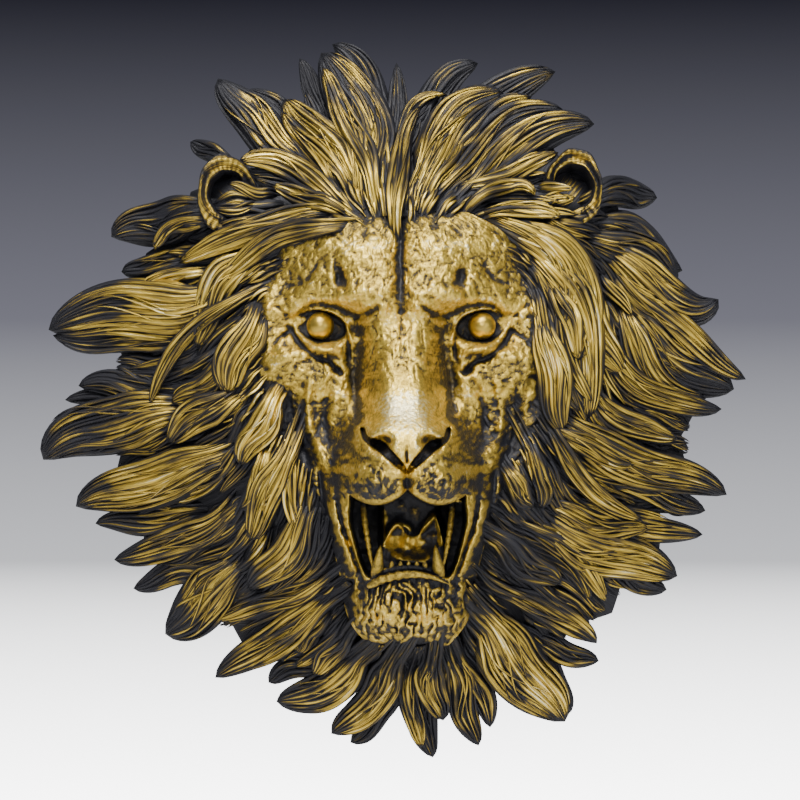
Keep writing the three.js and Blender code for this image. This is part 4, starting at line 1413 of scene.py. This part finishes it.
def build_stage(look):
    """Floor, soft lights, backdrop and camera."""
    build_floor(look.floor_drop)
    for softbox in SOFTBOXES:
        add_softbox(*softbox)
    build_backdrop()
    build_camera(look)


# the add-on


def tint(name, note, colour):
    """A colour that can be set in the panel."""
    return bpy.props.FloatVectorProperty(
        name=name, description=note, subtype="COLOR", size=3, min=0.0, max=1.0, default=colour)


class LionFinish(bpy.types.PropertyGroup):
    """Colours and polish of the casting."""

    patina: tint("Patina", "Near-black left in the hollows", (0.014, 0.014, 0.019))
    umber: tint("Umber", "Thin gold over the patina", (0.07, 0.052, 0.022))
    gold: tint("Gold", "The rubbed gold", (0.4, 0.275, 0.048))
    highlight: tint("Highlight", "Gold worn bright on the ridges", (0.9, 0.64, 0.11))
    # Worn: the pale top of the ramp, used mainly by the painted highlight on the nose.
    worn: tint("Worn", "Pale metal on the nose", (1.0, 0.88, 0.5))
    polish: bpy.props.FloatProperty(
        name="Polish", description="Roughness of the rubbed gold", default=0.32, min=0.05, max=1.0)
    wear: bpy.props.FloatProperty(
        name="Wear", description="How far fine wear breaks up the gold", default=1.4, min=0.0, max=3.0)


class LionStage(bpy.types.PropertyGroup):
    """The studio round the mask."""

    floor_drop: bpy.props.FloatProperty(
        name="Floor height", description="Height of the floor against the mask's middle",
        default=-0.42, unit="LENGTH")
    camera_distance: bpy.props.FloatProperty(
        name="Camera distance", description="From the wall plane to the camera",
        default=3.0, min=0.5, unit="LENGTH")
    frame_width: bpy.props.FloatProperty(
        name="Frame width", description="Breadth of the wall plane that the picture shows",
        default=0.568, min=0.1, unit="LENGTH")


def operator(idname, label, note, build):
    """An operator class that runs one builder."""
    def execute(self, context):
        build()
        return {"FINISHED"}

    return type(f"LION_OT_{idname}", (bpy.types.Operator,), {
        "bl_idname": f"lion.{idname}", "bl_label": label, "__doc__": note, "execute": execute})


PIECES = ["mane_body", *(layer[0] for layer in TRESS_LAYERS), "hairline", "face", "eyes",
          "mouth_parts", "ears", *(part[0] for part in MANE_PARTS)]


OPERATORS = [
    operator("mane_body", "Mane body", "Builds the body under the locks", build_mane_body),
    operator("under_locks", "Under locks", "Builds the lower layers of the mane", build_under_locks),
    operator("hairline", "Hairline", "Builds the fine strands round the face", build_hairline),
    operator("face", "Face", "Builds the face", build_face),
    operator("eyes", "Eyes", "Builds the eyeballs", build_eyes),
    operator("mouth", "Mouth", "Builds gums, teeth and lower lip", build_mouth),
    operator("ears", "Ears", "Builds the ears", build_ears),
    operator("mane", "Mane", "Builds the named locks", build_mane),
    operator("gilding", "Gilding", "Works out where the gold is rubbed",
             lambda: build_gilding([bpy.data.objects[name] for name in PIECES])),
    operator("stage", "Stage", "Builds floor, lights and camera",
             lambda: build_stage(bpy.context.scene.lion_stage)),
]


class LION_PT_mask(bpy.types.Panel):
    """Lists the mask's sizes, colours and operators."""

    bl_label = "Lion mask"
    bl_idname = "LION_PT_mask"
    bl_space_type = "VIEW_3D"
    bl_region_type = "UI"
    bl_category = "Lion mask"

    def draw(self, context):
        for group in (context.scene.lion_finish, context.scene.lion_stage):
            for key in group.bl_rna.properties.keys():
                if key not in ("rna_type", "name"):
                    self.layout.prop(group, key)
        for made in OPERATORS:
            self.layout.operator(made.bl_idname)


CLASSES = [LionFinish, LionStage, *OPERATORS, LION_PT_mask]


def register():
    """Makes the classes known and hangs their settings on the scene."""
    for made in CLASSES:
        bpy.utils.register_class(made)
    bpy.types.Scene.lion_finish = bpy.props.PointerProperty(type=LionFinish)
    bpy.types.Scene.lion_stage = bpy.props.PointerProperty(type=LionStage)


def unregister():
    """Takes the settings and the classes away again."""
    del bpy.types.Scene.lion_finish
    del bpy.types.Scene.lion_stage
    for made in reversed(CLASSES):
        bpy.utils.unregister_class(made)


def main():
    """Builds the mask and the studio, and writes the size of both models."""
    register()
    for made in OPERATORS:
        getattr(bpy.ops.lion, made.bl_idname.split(".")[1])()


if __name__ == "__main__":
    main()
